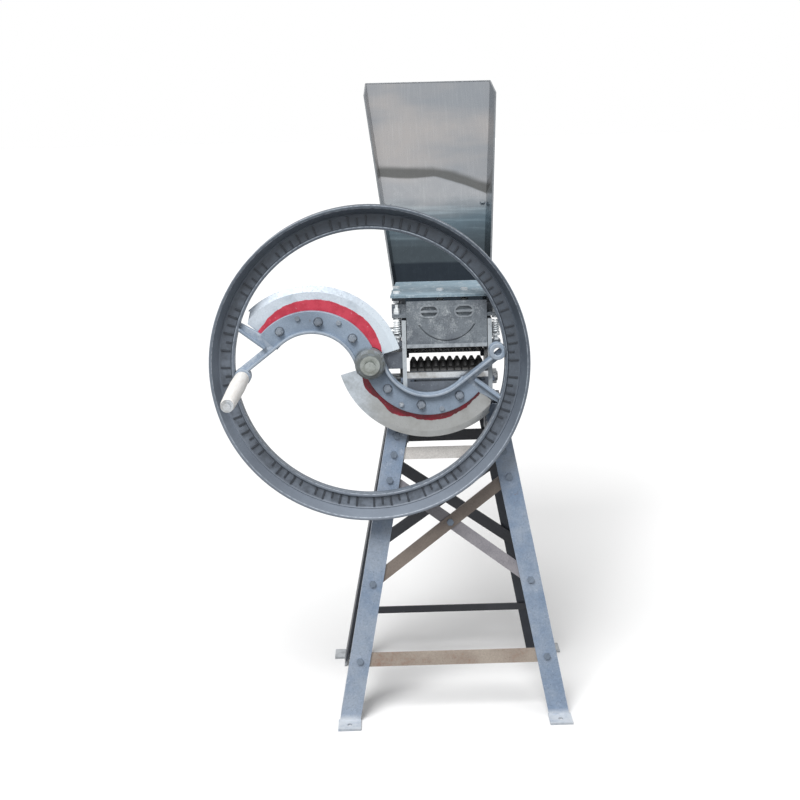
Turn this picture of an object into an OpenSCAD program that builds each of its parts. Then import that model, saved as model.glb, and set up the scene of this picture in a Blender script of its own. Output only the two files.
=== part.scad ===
// Hand-turned chaff cutter: a knife-armed flywheel shears fodder at the mouth of
// a cast head, two toothed rolls feed it from a sheet tray, and an angle-iron
// stand carries it. Left and right are as seen from the wheel side (-Y).
// The origin is on the floor, in the middle of the four floor-bolt holes.

/* [Stand] */
// Height of the main shaft above the floor
shaft_h = 910; // [900:1:930]
// Half distance between the floor-bolt holes, side to side
foot_x = 262; // [240:1:290]
// Half distance between the floor-bolt holes, front to back
foot_y = 197; // [190:1:215]
// Reach of a foot's bolt hole beyond its leg's face
foot_reach = 22; // [18:1:28]
// Diameter of a floor-bolt hole
foot_hole = 12; // [8:0.5:14]
// Flange width of the angle-iron legs
leg_w = 50; // [44:1:54]
// Width of the rear legs' faces, which reach further in
rear_leg_w = 64; // [54:1:70]
// Thickness of the angle iron
leg_t = 5; // [4:0.5:6]
// Leg tops below the main shaft
leg_drop = 120; // [116:1:126]
// Leg centre lines outside the sides of the mouth, at their tops
leg_set = 15; // [12:1:22]
// Thickness of the flat crossbars and braces
bar_t = 4; // [3:0.5:6]
// Height of the lower crossbars above the floor
low_bar_z = 155; // [120:1:220]
// Width of the front lower crossbar
low_bar_w = 35; // [25:1:45]
// Width of the rear lower crossbar
rear_bar_w = 20; // [18:1:40]
// Upper crossbars below the leg tops
up_bar_drop = 118; // [114:1:135]
// Width of the upper crossbars
up_bar_w = 30; // [22:1:34]
// Lower ends of the braces below the leg tops
brace_low_drop = 440; // [390:1:490]
// Upper ends of the braces below the leg tops
brace_up_drop = 181; // [178:1:230]
// Width of the diagonal braces
brace_w = 30; // [22:1:34]
// Thread diameter of the stand and head bolts
bolt_d = 9; // [7:0.5:10]

/* [Head] */
// Clear width of the mouth between the cheeks
mouth_w = 196; // [190:1:206]
// Thickness of the cast cheeks
cheek_t = 10; // [8:0.5:12]
// Shear face of the mouth in front of the roll axes
mouth_y = 68; // [66:0.5:74]
// Roll axes in front of the middle of the stand
roll_set = 70; // [66:1:74]
// Gap between the face plate's lip and the level of the shaft
lip_z = 30; // [26:1:32]
// Height of the face plate
face_h = 112; // [104:1:115]
// Thickness of the face plate
face_t = 11; // [8:0.5:11.5]
// Upward travel of the floating jaw
jaw_lift = 5; // [3:0.5:5]
// Underside of the top plate above the main shaft
cover_z = 151; // [150:1:160]
// Thickness of the top plate
cover_t = 6; // [4:0.5:8]
// Depth of the top plate, front to back
cover_d = 228; // [180:1:240]
// Overhang of the top plate's front corners beyond the sides of the mouth
cover_over = 36; // [32:1:42]
// Overhang of the top plate's rear corners beyond the sides of the mouth
cover_over_rear = 20; // [12:1:30]

/* [Feed rolls] */
// Tip radius of the roll teeth
roll_r = 52; // [48:0.5:53]
// Depth of the roll teeth
tooth_h = 11; // [7:0.5:13]
// Number of toothed rings on a roll
ring_n = 10; // [6:1:12]
// Number of flutes across the rings
flute_n = 10; // [6:1:14]
// Diameter of the roll shafts
roll_shaft_d = 24; // [20:1:26]
// Gear module of the worm drive
gear_m = 4; // [3.8:0.05:4.1]
// Teeth on each worm gear
gear_n = 19; // [19:1:20]
// Face width of the worm gears
gear_w = 24; // [18:1:26]
// Pitch radius of the worm
worm_pr = 20; // [19.5:0.5:21]
// Length of the worm thread
worm_l = 60; // [46:1:62]

/* [Flywheel] */
// Rim radius
wheel_r = 380; // [370:1:390]
// Width of the rim, measured along a radius
rim_w = 58; // [50:1:62]
// Depth of the rim's outer flange
rim_d = 49; // [36:1:60]
// Shaft to the left of the mouth's middle
shaft_x = 186; // [180:1:192]
// Main shaft diameter
shaft_d = 25; // [22:0.5:28]
// Radius of the hub
hub_r = 36; // [32:1:40]
// Distance of an arm's arc centre from the shaft
arm_off = 142; // [138:0.5:146]
// Direction of the right arm's arc centre, above the level
arm_dir = 12; // [9:0.5:15]
// Radius of an arm's hollow edge
arm_in = 106; // [102:0.5:110]
// Radius of an arm's full edge
arm_out = 160; // [156:0.5:164]
// Thickness of an arm's web
arm_t = 14; // [10:0.5:18]
// Height of the ribs above an arm's web
rib_h = 13; // [8:0.5:16]
// Radius of a knife's cutting edge about the arm's arc centre
knife_r = 219; // [212:0.5:220]
// Thickness of a knife
knife_t = 6; // [4:0.5:8]
// Running gap between a knife and the mouth
shear_gap = 0.6; // [0.4:0.1:1]
// Radius at which the handle bosses sit
boss_pr = 305; // [300:1:310]
// Direction of the right boss above the level
boss_dir = 4.3; // [3:0.1:6]
// Outer radius of a handle boss
boss_r = 20; // [18:0.5:23]
// Diameter of the handle spindle in its boss
spindle_d = 19; // [14:0.5:22]
// Length of the wooden grip
grip_l = 262; // [200:1:290]
// Largest diameter of the grip
grip_d = 38; // [32:0.5:42]

/* [Tray] */
// Slope of the tray above the level
tray_slope = 42; // [38:0.5:45]
// Length of the tray's sloping floor
tray_l = 1020; // [800:5:1200]
// Tray's throat inside the sides of the mouth
tray_clear = 3; // [2:0.5:10]
// Half width of the tray's far end
tray_rear = 192; // [160:1:220]
// Height of the tray's side walls
wall_h = 70; // [55:1:90]
// Outward lean of the side walls
wall_lean = 13; // [8:0.5:25]
// Length cut from the walls' far top corners
wall_cut = 130; // [60:5:200]
// Thickness of the tray sheet
sheet_t = 1.6; // [1:0.1:2]

/* [Hidden] */
$fn = 64;

// Fits, in millimetres of radius or of gap
press = 0.02;
running = 0.05;
loose = 0.4;
gap = 0.3;
big = 2000;

// Colours of the castings, bars and bright pieces
cast_dark = [0.31, 0.34, 0.38];
cast_mid = [0.47, 0.48, 0.50];
leg_blue = [0.55, 0.63, 0.73];
charcoal = [0.22, 0.23, 0.25];
rusty = [0.62, 0.54, 0.48];
sheet = [0.70, 0.72, 0.73];
lavender = [0.62, 0.60, 0.63];
zinc = [0.85, 0.87, 0.88];
steel = [0.74, 0.76, 0.78];
bronze = [0.66, 0.52, 0.30];

// Main places
roll_y = -roll_set;
mouth_face = roll_y - mouth_y;
gear_pr = gear_m*gear_n/2;
roll_dz = worm_pr + gear_pr;
upper_z = shaft_h + roll_dz;
lower_z = shaft_h - roll_dz;
mouth_x = mouth_w/2;
cheek_x = mouth_x + cheek_t;
leg_top = shaft_h - leg_drop;
leg_top_x = mouth_x + leg_set;
up_bar_z = leg_top - up_bar_drop;
brace_low_z = leg_top - brace_low_drop;
brace_up_z = leg_top - brace_up_drop;
cover_front = mouth_x + cover_over;
cover_rear = mouth_x + cover_over_rear;
tray_front = mouth_x - tray_clear;

// The two leg frames: each lies in a plane that tilts inwards from the floor to
// the leg tops, and the legs lean towards each other within that plane
leg_face = foot_y - foot_reach;
front_top_y = roll_set + 37;
rear_top_y = 33;
front_tilt = atan((leg_face - front_top_y)/leg_top);
rear_tilt = atan((leg_face - rear_top_y)/leg_top);
function tilt(front) = front ? front_tilt : rear_tilt;
function up(front, z) = z/cos(tilt(front));
function leg_lean(front) = atan((foot_x - leg_top_x)/up(front, leg_top));
function leg_x(front, v) = foot_x - v*tan(leg_lean(front));

module leg_frame(front)
    mirror([0, front ? 0 : 1, 0]) translate([0, -leg_face, 0]) rotate([-tilt(front), 0, 0]) children();

// Bolt places in a leg frame: side, height and the depth of the bars held
brace_v = [brace_low_z, brace_up_z];
function lug_v(front) = [for (d = [28, 72]) up(front, leg_top - d)];
lug_t = 10;
lug_h = 92;
bolt_clear = bolt_d/2 + loose;
bolt_head = bolt_d*0.62;
bolt_hex = bolt_d*0.98;

// A hexagon bolt along +Z from under its head, with its nut under the grip
module bolt(grip, d = bolt_d, tail = 4) {
    translate([0, 0, -d*0.62]) cylinder(r = d*0.98, h = d*0.62, $fn = 6);
    translate([0, 0, -d*0.1]) cylinder(d = d, h = grip + d*0.9 + tail);
    translate([0, 0, grip]) cylinder(r = d*0.98, h = d*0.8, $fn = 6);
}

// Puts children at a place in a leg frame, with +Z pointing into the stand
module in_frame(front, x, v, w = 0)
    leg_frame(front) translate([x, w, v]) rotate([-90, 0, 0]) children();

module leg_holes(front, side) {
    for (v = concat([up(front, low_bar_z), up(front, up_bar_z)], [for (z = brace_v) up(front, z)], lug_v(front)))
        in_frame(front, side*leg_x(front, v), v, -1) cylinder(r = bolt_clear, h = leg_t + 2);
}

// One angle-iron leg with its lower end forged out into a drilled foot
module leg(front, side) {
    sign = front ? -1 : 1;
    foot_w = leg_w + (front ? 6 : 30);
    face_w = front ? leg_w : rear_leg_w;
    difference() {
        union() {
            intersection() {
                leg_frame(front) translate([side*foot_x, 0, 0]) rotate([0, -side*leg_lean(front), 0])
                    translate([0, 0, -leg_w]) linear_extrude(up(front, leg_top) + 2*leg_w) union() {
                        translate([side > 0 ? leg_w/2 - face_w : -leg_w/2, 0]) square([face_w, leg_t]);
                        translate([side > 0 ? leg_w/2 - leg_t : -leg_w/2, 0]) square([leg_t, leg_w]);
                    }
                translate([-big/2, -big/2, 0]) cube([big, big, leg_top]);
            }
            translate([side*(foot_x + (foot_w - leg_w)/2 - 3) - foot_w/2,
                front ? -foot_y - foot_reach : leg_face - leg_t, 0])
                cube([foot_w, 2*foot_reach + leg_t, leg_t]);
        }
        leg_holes(front, side);
        translate([side*foot_x, sign*foot_y, -1]) cylinder(d = foot_hole, h = leg_t + 2);
    }
}

// A level flat bar bolted inside the two legs of a frame
module cross_bar(front, z, w) {
    v = up(front, z);
    half = leg_x(front, v) + leg_w/2 - leg_t - w/2*tan(leg_lean(front)) - 3;
    difference() {
        leg_frame(front) translate([-half, leg_t, v - w/2]) cube([2*half, bar_t, w]);
        for (side = [-1, 1]) in_frame(front, side*leg_x(front, v), v) cylinder(r = bolt_clear, h = 4*leg_w);
    }
}

// A diagonal flat bar from the low bolt on one leg to the high bolt on the other
module brace(front, rise, layer) {
    v = [for (z = brace_v) up(front, z)];
    low = [-rise*leg_x(front, v[0]), v[0]];
    high = [rise*leg_x(front, v[1]), v[1]];
    run = norm(high - low);
    end = brace_w*0.42;
    depth = leg_t + layer*bar_t;
    difference() {
        leg_frame(front) translate([low[0], depth, low[1]])
            rotate([0, -atan2(high[1] - low[1], high[0] - low[0]), 0])
            translate([-end, 0, -brace_w/2]) cube([run + 2*end, bar_t, brace_w]);
        for (p = [low, high, (brace_cross(front))]) in_frame(front, p[0], p[1]) cylinder(r = bolt_clear, h = 4*leg_w);
    }
}
function brace_cross(front) = let(a = leg_x(front, up(front, brace_low_z)), b = leg_x(front, up(front, brace_up_z)))
    [0, up(front, brace_low_z + (brace_up_z - brace_low_z)*a/(a + b))];

module frame_bolts(front) {
    for (side = [-1, 1]) {
        for (z = [low_bar_z, up_bar_z])
            in_frame(front, side*leg_x(front, up(front, z)), up(front, z)) bolt(leg_t + bar_t);
        // The inner brace lies one bar further in, so its bolts carry a spacer ring
        for (i = [0, 1]) {
            v = up(front, brace_v[i]);
            inner = (side > 0) == (i == 0);
            in_frame(front, side*leg_x(front, v), v) bolt(leg_t + bar_t*(inner ? 2 : 1));
            if (inner) in_frame(front, side*leg_x(front, v), v, leg_t) difference() {
                cylinder(r = bolt_hex, h = bar_t);
                translate([0, 0, -1]) cylinder(r = bolt_clear, h = bar_t + 2);
            }
        }
    }
    c = brace_cross(front);
    in_frame(front, c[0], c[1], leg_t) bolt(2*bar_t);
}

module stand_bolts() color(cast_mid) for (front = [true, false]) frame_bolts(front);

module head_bolts() color(cast_mid)
    for (front = [true, false], side = [-1, 1], v = lug_v(front))
        in_frame(front, side*leg_x(front, v), v) bolt(leg_t + lug_t);

// Head: shared places
block_w = 40;
block_h = 40;
spring_x = cheek_x + 11;
spring_y = mouth_face + 16;
coil_r = 7.2;
wire_r = 1.5;
seat_r = coil_r + wire_r + 0.8;
spring_low = shaft_h + 58;
spring_high = shaft_h + 98;
seat_t = 3;
ear_z = spring_high + 6;
ear_t = 8;
rod_d = 8;
rod_lug_z = shaft_h + 34;
rod_lug_t = 10;
rear_edge = roll_y + 80;
step_z = ear_z - 6;
cheek_back = spring_y + rod_d + 6.2;
sill_t = mouth_y - roll_r - 2;
sill_top = -lip_z;
sill_h = 74;
bed_t = 5;
bed_top = lower_z + roll_r + 2;
bed_front = roll_y + roll_r + 10;
cover_bolt_x = cheek_x + 10;
cover_bolt_y = [roll_y - 24, roll_y + 58];
cover_flange = 10;
bush_wall = 4;
bracket_t = 10;
bracket_h = 40;
bracket_hub = shaft_d/2 + bush_wall + 10;
front_arm = [mouth_face + 4, 18];
rear_arm = [roll_y + 48, 20];
screw_y = [roll_y - 36, roll_y + 30];
stay_t = 5;
stay_w = 25;
stay_y = roll_y + 62;
stay_z = shaft_h - 100;
sill_bolt_z = [-50, -84];

// One cast cheek, drawn for the right-hand side
module cheek_solid() {
    difference() {
        union() {
            translate([mouth_x, 0, shaft_h]) rotate([90, 0, 90]) linear_extrude(cheek_t) polygon([
                [cheek_back, cover_z], [cheek_back, step_z - shaft_h], [mouth_face, step_z - shaft_h],
                [mouth_face, sill_top - sill_h], [mouth_face + 24, -leg_drop + 6],
                [mouth_face + 24, -leg_drop - lug_h], [-10, -leg_drop - lug_h], [70, -leg_drop - lug_h],
                [70, -leg_drop + 6], [rear_edge, -leg_drop + 20], [rear_edge, cover_z]]);
            // Lugs behind the leg flanges, and a flange under the top plate
            for (front = [true, false]) leg_frame(front)
                translate([mouth_x + 1, leg_t, up(front, leg_top - lug_h + 6)])
                cube([leg_top_x + 16 - mouth_x, lug_t, up(front, lug_h - 13)]);
            translate([mouth_x, cover_bolt_y[0] - 12, shaft_h + cover_z - cover_flange])
                cube([cover_bolt_x + 12 - mouth_x, cover_bolt_y[1] - cover_bolt_y[0] + 24, cover_flange]);
            translate([mouth_x - 8, bed_front + 1, bed_top - bed_t - 12]) cube([9, rear_edge - bed_front - 2, 12]);
            translate([mouth_x, roll_y, lower_z]) rotate([0, 90, 0]) cylinder(r = 27, h = cheek_t + 3);
            translate([cheek_x - 1, spring_y - 10, rod_lug_z])
                cube([spring_x + 10 - cheek_x + 1, 20, rod_lug_t]);
        }
        // Room for the legs themselves
        for (front = [true, false]) leg_frame(front)
            translate([0, -big/4, 0]) cube([big/4, big/4 + leg_t, up(front, leg_top) + 1]);
        // Window for the floating block, bore of the lower bush and lightening hole
        translate([mouth_x - 1, roll_y - block_w/2 - gap, upper_z - block_h/2 - gap])
            cube([cheek_t + 2, block_w + 2*gap, block_h + jaw_lift + 3*gap]);
        translate([mouth_x - 10, roll_y, lower_z]) rotate([0, 90, 0])
            cylinder(r = roll_shaft_d/2 + bush_wall + press, h = cheek_t + 20);
        translate([mouth_x - 1, roll_y + 32, shaft_h - leg_drop - lug_h/2]) rotate([0, 90, 0])
            cylinder(r = 30, h = cheek_t + 2);
        for (front = [true, false], v = lug_v(front))
            in_frame(front, leg_x(front, v), v) cylinder(r = bolt_clear, h = leg_t + lug_t + 2);
        for (y = cover_bolt_y) translate([cover_bolt_x, y, shaft_h + cover_z - cover_flange - 1])
            cylinder(r = bolt_clear, h = cover_flange + 2);
        translate([spring_x, spring_y, rod_lug_z - 1]) cylinder(r = rod_d/2 + gap, h = rod_lug_t + 2);
        for (z = sill_bolt_z) translate([mouth_x - 1, mouth_face + sill_t/2, shaft_h + z])
            rotate([0, 90, 0]) cylinder(r = rod_d/2 + gap, h = cheek_t + 2);
        translate([mouth_x - 1, stay_y, stay_z]) rotate([0, 90, 0]) cylinder(r = bolt_clear, h = cheek_t + 2);
    }
}

module cheek_right() color(cast_mid) cheek_solid();

module cheek_left() color(cast_mid) difference() {
    mirror([1, 0, 0]) cheek_solid();
    for (y = screw_y, z = [-12, 12]) translate([-cheek_x - 1, y, shaft_h + z]) rotate([0, 90, 0])
        cylinder(r = rod_d/2 + gap, h = cheek_t);
}

// Cast sill under the mouth, with a rebate for the ledger bar and a long slot
ledger_h = 14;
ledger_t = 9;
module mouth_sill() color(cast_mid) difference() {
    translate([-mouth_x, mouth_face, shaft_h + sill_top - sill_h]) cube([mouth_w, sill_t, sill_h]);
    translate([-mouth_x - 1, mouth_face - 1, shaft_h + sill_top - ledger_h]) cube([mouth_w + 2, ledger_t + 1, ledger_h + 1]);
    translate([-mouth_x + 8, mouth_face - 1, shaft_h + sill_top - ledger_h - 9]) cube([mouth_w - 16, 7, 6]);
    for (side = [-1, 1], z = sill_bolt_z)
        translate([side*(mouth_x - 10), mouth_face + sill_t/2, shaft_h + z]) rotate([0, side*90, 0])
            translate([0, 0, -12]) cylinder(r = rod_d/2 + gap, h = 24);
}

module sill_bolts() color(cast_mid) for (side = [-1, 1], z = sill_bolt_z)
    translate([side*cheek_x, mouth_face + sill_t/2, shaft_h + z]) rotate([0, -side*90, 0]) {
        translate([0, 0, -rod_d*0.62]) cylinder(r = rod_d*0.9, h = rod_d*0.62, $fn = 6);
        translate([0, 0, -1]) cylinder(d = rod_d, h = cheek_t + 18);
    }

module ledger_bar() color(steel)
    translate([-mouth_x + gap, mouth_face, shaft_h + sill_top - ledger_h]) cube([mouth_w - 2*gap, ledger_t, ledger_h]);

// Bed behind the rolls, on ledges of the cheeks, with a sloping lip that carries the tray
lip_bolt_x = 60;
lip_bolt_s = 20;
lip_l = 32;
tray_y = rear_edge + 2;
module rear_bed() color(cast_mid) difference() {
    translate([-mouth_x + gap, 0, 0]) rotate([90, 0, 90]) linear_extrude(mouth_w - 2*gap) polygon([
        [bed_front, bed_top - bed_t], [tray_y + bed_t*tan(tray_slope/2), bed_top - bed_t],
        [tray_y + lip_l*cos(tray_slope) + bed_t*sin(tray_slope), bed_top + lip_l*sin(tray_slope) - bed_t*cos(tray_slope)],
        [tray_y + lip_l*cos(tray_slope), bed_top + lip_l*sin(tray_slope)], [tray_y, bed_top], [bed_front, bed_top]]);
    tray_frame() for (side = [-1, 1]) translate([side*lip_bolt_x, lip_bolt_s, -bed_t - 1])
        cylinder(r = rod_d/2 + gap, h = bed_t + 2);
}

// Top plate over the throat, a trapezium in plan
cover_y = mouth_face + 10;
cover_bar_x = [-12, 48];
cover_bar_y = roll_y + 8;
cover_holes = concat([for (side = [-1, 1], y = cover_bolt_y) [side*cover_bolt_x, y]],
    [for (x = cover_bar_x) [x, cover_bar_y]]);
module top_plate() color([0.62, 0.70, 0.74]) translate([0, 0, shaft_h + cover_z]) difference() {
    linear_extrude(cover_t) polygon([[-cover_front, cover_y], [cover_front, cover_y],
        [cover_rear, cover_y + cover_d], [-cover_rear, cover_y + cover_d]]);
    for (p = cover_holes) translate([p[0], p[1], -1]) cylinder(r = bolt_clear, h = cover_t + 2);
}

// Stiffening bar under the top plate
module cover_bar() color(cast_mid) translate([0, 0, shaft_h + cover_z - cover_flange]) difference() {
    translate([-mouth_x + 8, cover_bar_y - 13, 0]) cube([mouth_w - 16, 26, cover_flange]);
    for (x = cover_bar_x) translate([x, cover_bar_y, -1]) cylinder(r = bolt_clear, h = cover_flange + 2);
}

module cover_bolts() color(zinc) for (p = cover_holes)
    translate([p[0], p[1], shaft_h + cover_z + cover_t]) rotate([180, 0, 0]) bolt(cover_t + cover_flange, tail = 1);

// Bronze bushes of the lower roll, pressed into the cheeks
module lower_bushes() color(bronze) for (side = [-1, 1])
    translate([side*(mouth_x - 7), roll_y, lower_z]) rotate([0, side*90, 0]) difference() {
        cylinder(r = roll_shaft_d/2 + bush_wall, h = cheek_t + 10);
        translate([0, 0, -1]) cylinder(r = roll_shaft_d/2 + running, h = cheek_t + 12);
    }

// Casting on the left cheek that carries the main shaft before and behind the worm
module shaft_bracket() color(cast_mid) difference() {
    union() {
        translate([-cheek_x - bracket_t, front_arm[0], shaft_h - bracket_h/2])
            cube([bracket_t, rear_arm[0] + rear_arm[1] - front_arm[0], bracket_h]);
        for (arm = [front_arm, rear_arm]) {
            translate([-shaft_x, arm[0], shaft_h - bracket_h/2])
                cube([shaft_x - cheek_x - 1, arm[1], bracket_h]);
            translate([-shaft_x, arm[0], shaft_h]) rotate([-90, 0, 0]) cylinder(r = bracket_hub, h = arm[1]);
        }
    }
    for (arm = [front_arm, rear_arm]) translate([-shaft_x, arm[0] - 1, shaft_h]) rotate([-90, 0, 0])
        cylinder(r = shaft_d/2 + bush_wall + press, h = arm[1] + 2);
    for (y = screw_y, z = [-12, 12]) translate([-cheek_x - bracket_t - 1, y, shaft_h + z]) rotate([0, 90, 0])
        cylinder(r = rod_d/2 + gap, h = bracket_t + 2);
}

module bracket_screws() color(zinc) for (y = screw_y, z = [-12, 12])
    translate([-cheek_x - bracket_t, y, shaft_h + z]) rotate([0, 90, 0]) {
        translate([0, 0, -rod_d*0.7]) cylinder(r = rod_d*0.8, h = rod_d*0.7);
        translate([0, 0, -1]) cylinder(d = rod_d, h = bracket_t + cheek_t - 2);
    }

module shaft_bushes() color(bronze) for (arm = [front_arm, rear_arm])
    translate([-shaft_x, arm[0], shaft_h]) rotate([-90, 0, 0]) difference() {
        cylinder(r = shaft_d/2 + bush_wall, h = arm[1]);
        translate([0, 0, -1]) cylinder(r = shaft_d/2 + running, h = arm[1] + 2);
    }

// Screwed rods on the cheeks that hold the springs' lower ends
module spring_rods() color(zinc) for (side = [-1, 1]) translate([side*spring_x, spring_y, 0]) {
    translate([0, 0, rod_lug_z - 10]) cylinder(d = rod_d, h = spring_low - rod_lug_z + 9);
    translate([0, 0, spring_low - seat_t - gap]) cylinder(r = seat_r, h = seat_t);
    translate([0, 0, rod_lug_z - rod_d*0.8]) cylinder(r = rod_d*0.95, h = rod_d*0.8, $fn = 6);
    translate([0, 0, rod_lug_z + rod_lug_t]) cylinder(r = rod_d*0.95, h = rod_d*0.6, $fn = 6);
}

// Coil springs that pull the jaw down: one wire swept along a helix with
// straight ends that stand square on the seats
coil_n = 8;
coil_steps = 8;
wire_sides = 6;
lead_in = 2*wire_r;
coil_rise = (spring_high - spring_low - 2*lead_in)/coil_n;
function coil_point(i) = let(a = i*360/coil_steps)
    [coil_r*cos(a), coil_r*sin(a), spring_low + lead_in + coil_rise*i/coil_steps];
coil_path = concat([coil_point(0) - [0, 0, lead_in]], [for (i = [0:coil_n*coil_steps]) coil_point(i)],
    [coil_point(coil_n*coil_steps) + [0, 0, lead_in]]);
coil_last = len(coil_path) - 1;
function unit(v) = v/norm(v);
function along(p, i) = i == 0 || i == len(p) - 1 ? [0, 0, 1] : unit(p[i + 1] - p[i - 1]);
function wire_ring(p, i) = let(t = along(p, i), a = unit([p[i][0], p[i][1], 0]), s = unit(cross(t, a)), o = cross(s, t))
    [for (k = [0:wire_sides - 1]) p[i] + wire_r*(cos(k*360/wire_sides)*o + sin(k*360/wire_sides)*s)];
coil_gap = min([for (i = [1:coil_last - 1], j = [1:coil_last - 1]) if (j - i > coil_steps/2) norm(coil_path[i] - coil_path[j])]) - 2*wire_r;
echo(least_gap_between_spring_curls = coil_gap);

// Skin of a tube through rings of points, closed at both ends
module skin(rings) {
    m = len(rings[0]);
    n = len(rings);
    polyhedron([for (r = rings, q = r) q], concat(
        [for (k = [1:m - 2]) [0, k, k + 1]],
        [for (k = [1:m - 2]) [(n - 1)*m, (n - 1)*m + k + 1, (n - 1)*m + k]],
        [for (i = [0:n - 2], k = [0:m - 1]) [i*m + k, (i + 1)*m + k, i*m + (k + 1) % m]],
        [for (i = [0:n - 2], k = [0:m - 1]) [i*m + (k + 1) % m, (i + 1)*m + k, (i + 1)*m + (k + 1) % m]]));
}
module spring() color(zinc) skin([for (i = [0:coil_last]) wire_ring(coil_path, i)]);
module spring_left() translate([-spring_x, spring_y, 0]) spring();
module spring_right() translate([spring_x, spring_y, 0]) spring();

// Tray: one folded sheet, kept as a floor and two walls so that each is a flat plate
flare = atan((tray_rear - tray_front)/tray_l);
wall_start = wall_h*cos(wall_lean)*tan(tray_slope);
edge_l = tray_l/cos(flare);
clip_s = 0.495*tray_l;
clip_w = 40;
clip_hole = 19;
stay_x = cheek_x;
module tray_frame() translate([0, tray_y, bed_top]) rotate([tray_slope, 0, 0]) children();

// The walls start a little inside the floor's ends and are cut level with its underside, and the
// floor is cut along their inner faces
fold_in = 2;
module wall_place() translate([tray_front, 0, 0]) rotate([0, 0, -flare]) rotate([0, wall_lean - 90, 0]) children();
module tray_walls() color(sheet) tray_frame() for (side = [0, 1]) mirror([side, 0, 0]) intersection() {
    wall_place() linear_extrude(sheet_t) polygon([[-2*fold_in, fold_in], [0, fold_in], [wall_h, wall_start + fold_in],
        [wall_h, edge_l - wall_cut], [0, edge_l - fold_in], [-2*fold_in, edge_l - fold_in]]);
    translate([0, -big/2, 0]) cube([big, 2*big, big]);
}

module tray_floor() color(sheet) tray_frame() difference() {
    linear_extrude(sheet_t) polygon([[-tray_front, 0], [tray_front, 0], [tray_rear, tray_l], [-tray_rear, tray_l]]);
    for (side = [0, 1]) mirror([side, 0, 0]) {
        wall_place() translate([-wall_h, -wall_h, -wall_h]) cube([2*wall_h, edge_l + 2*wall_h, wall_h + sheet_t]);
        translate([lip_bolt_x, lip_bolt_s, -1]) cylinder(r = rod_d/2 + gap, h = sheet_t + 2);
        translate([stay_x + stay_t + clip_hole, clip_s, -1]) cylinder(r = rod_d/2 + gap, h = sheet_t + 2);
    }
}

// Angle clips under the tray, and the stays that run up to them from the cheeks
clip_t = 4;
clip_h = 34;
clip_drop = 20;
module tray_clips() color(charcoal) for (side = [0, 1]) mirror([side, 0, 0]) tray_frame() difference() {
    union() {
        translate([stay_x + stay_t, clip_s - clip_w/2, -clip_h]) cube([clip_t, clip_w, clip_h]);
        translate([stay_x + stay_t, clip_s - clip_w/2, -clip_t]) cube([36, clip_w, clip_t]);
    }
    translate([stay_x + stay_t + clip_hole, clip_s, -clip_t - 1]) cylinder(r = rod_d/2 + gap, h = clip_t + 2);
    translate([stay_x, clip_s, -clip_drop]) rotate([0, 90, 0]) cylinder(r = bolt_clear, h = 40);
}

stay_top = [tray_y + clip_s*cos(tray_slope) + clip_drop*sin(tray_slope),
    bed_top + clip_s*sin(tray_slope) - clip_drop*cos(tray_slope)];
stay_run = stay_top - [stay_y, stay_z];
module tray_stays() color(charcoal) for (side = [0, 1]) mirror([side, 0, 0]) difference() {
    translate([stay_x, stay_y, stay_z]) rotate([atan2(stay_run[1], stay_run[0]), 0, 0])
        translate([0, -stay_w/2, -stay_w/2]) cube([stay_t, norm(stay_run) + stay_w/2 + 8, stay_w]);
    for (p = [[stay_y, stay_z], stay_top]) translate([stay_x - 1, p[0], p[1]]) rotate([0, 90, 0])
        cylinder(r = bolt_clear, h = stay_t + 2);
}

module tray_bolts() color(zinc) for (side = [0, 1]) mirror([side, 0, 0]) {
    tray_frame() translate([lip_bolt_x, lip_bolt_s, sheet_t]) rotate([180, 0, 0]) bolt(sheet_t + bed_t, rod_d, 2);
    tray_frame() translate([stay_x + stay_t + clip_hole, clip_s, sheet_t]) rotate([180, 0, 0]) bolt(sheet_t + clip_t, rod_d, 2);
    translate([stay_x + stay_t + clip_t, stay_top[0], stay_top[1]]) rotate([0, -90, 0]) bolt(stay_t + clip_t, tail = 2);
    translate([stay_x + stay_t, stay_y, stay_z]) rotate([0, -90, 0]) bolt(stay_t + cheek_t, tail = 1);
}

// Floating jaw: the face plate with its ears and the arms that hold the bearing blocks
face_front = mouth_face + 2;
arm_x0 = mouth_x - 7;
face_x = mouth_x - 1.5;
face_low = shaft_h + lip_z;
gusset_t = 4.5;
gusset_y = spring_y + rod_d + 0.2;
smile_r = 78;
smile_top = 56;
recess_x = 0.435*face_x;
recess_up = face_h - 24;
recess_r = 12;
recess_d = 6;
brow_w = 4;
groove_w = 3.5;
module long_hole(r, h) {
    translate([-recess_r*2/3, -r, 0]) cube([recess_r*4/3, 2*r, h]);
    for (e = [-1, 1]) translate([e*recess_r*2/3, 0, 0]) cylinder(r = r, h = h);
}
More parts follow.
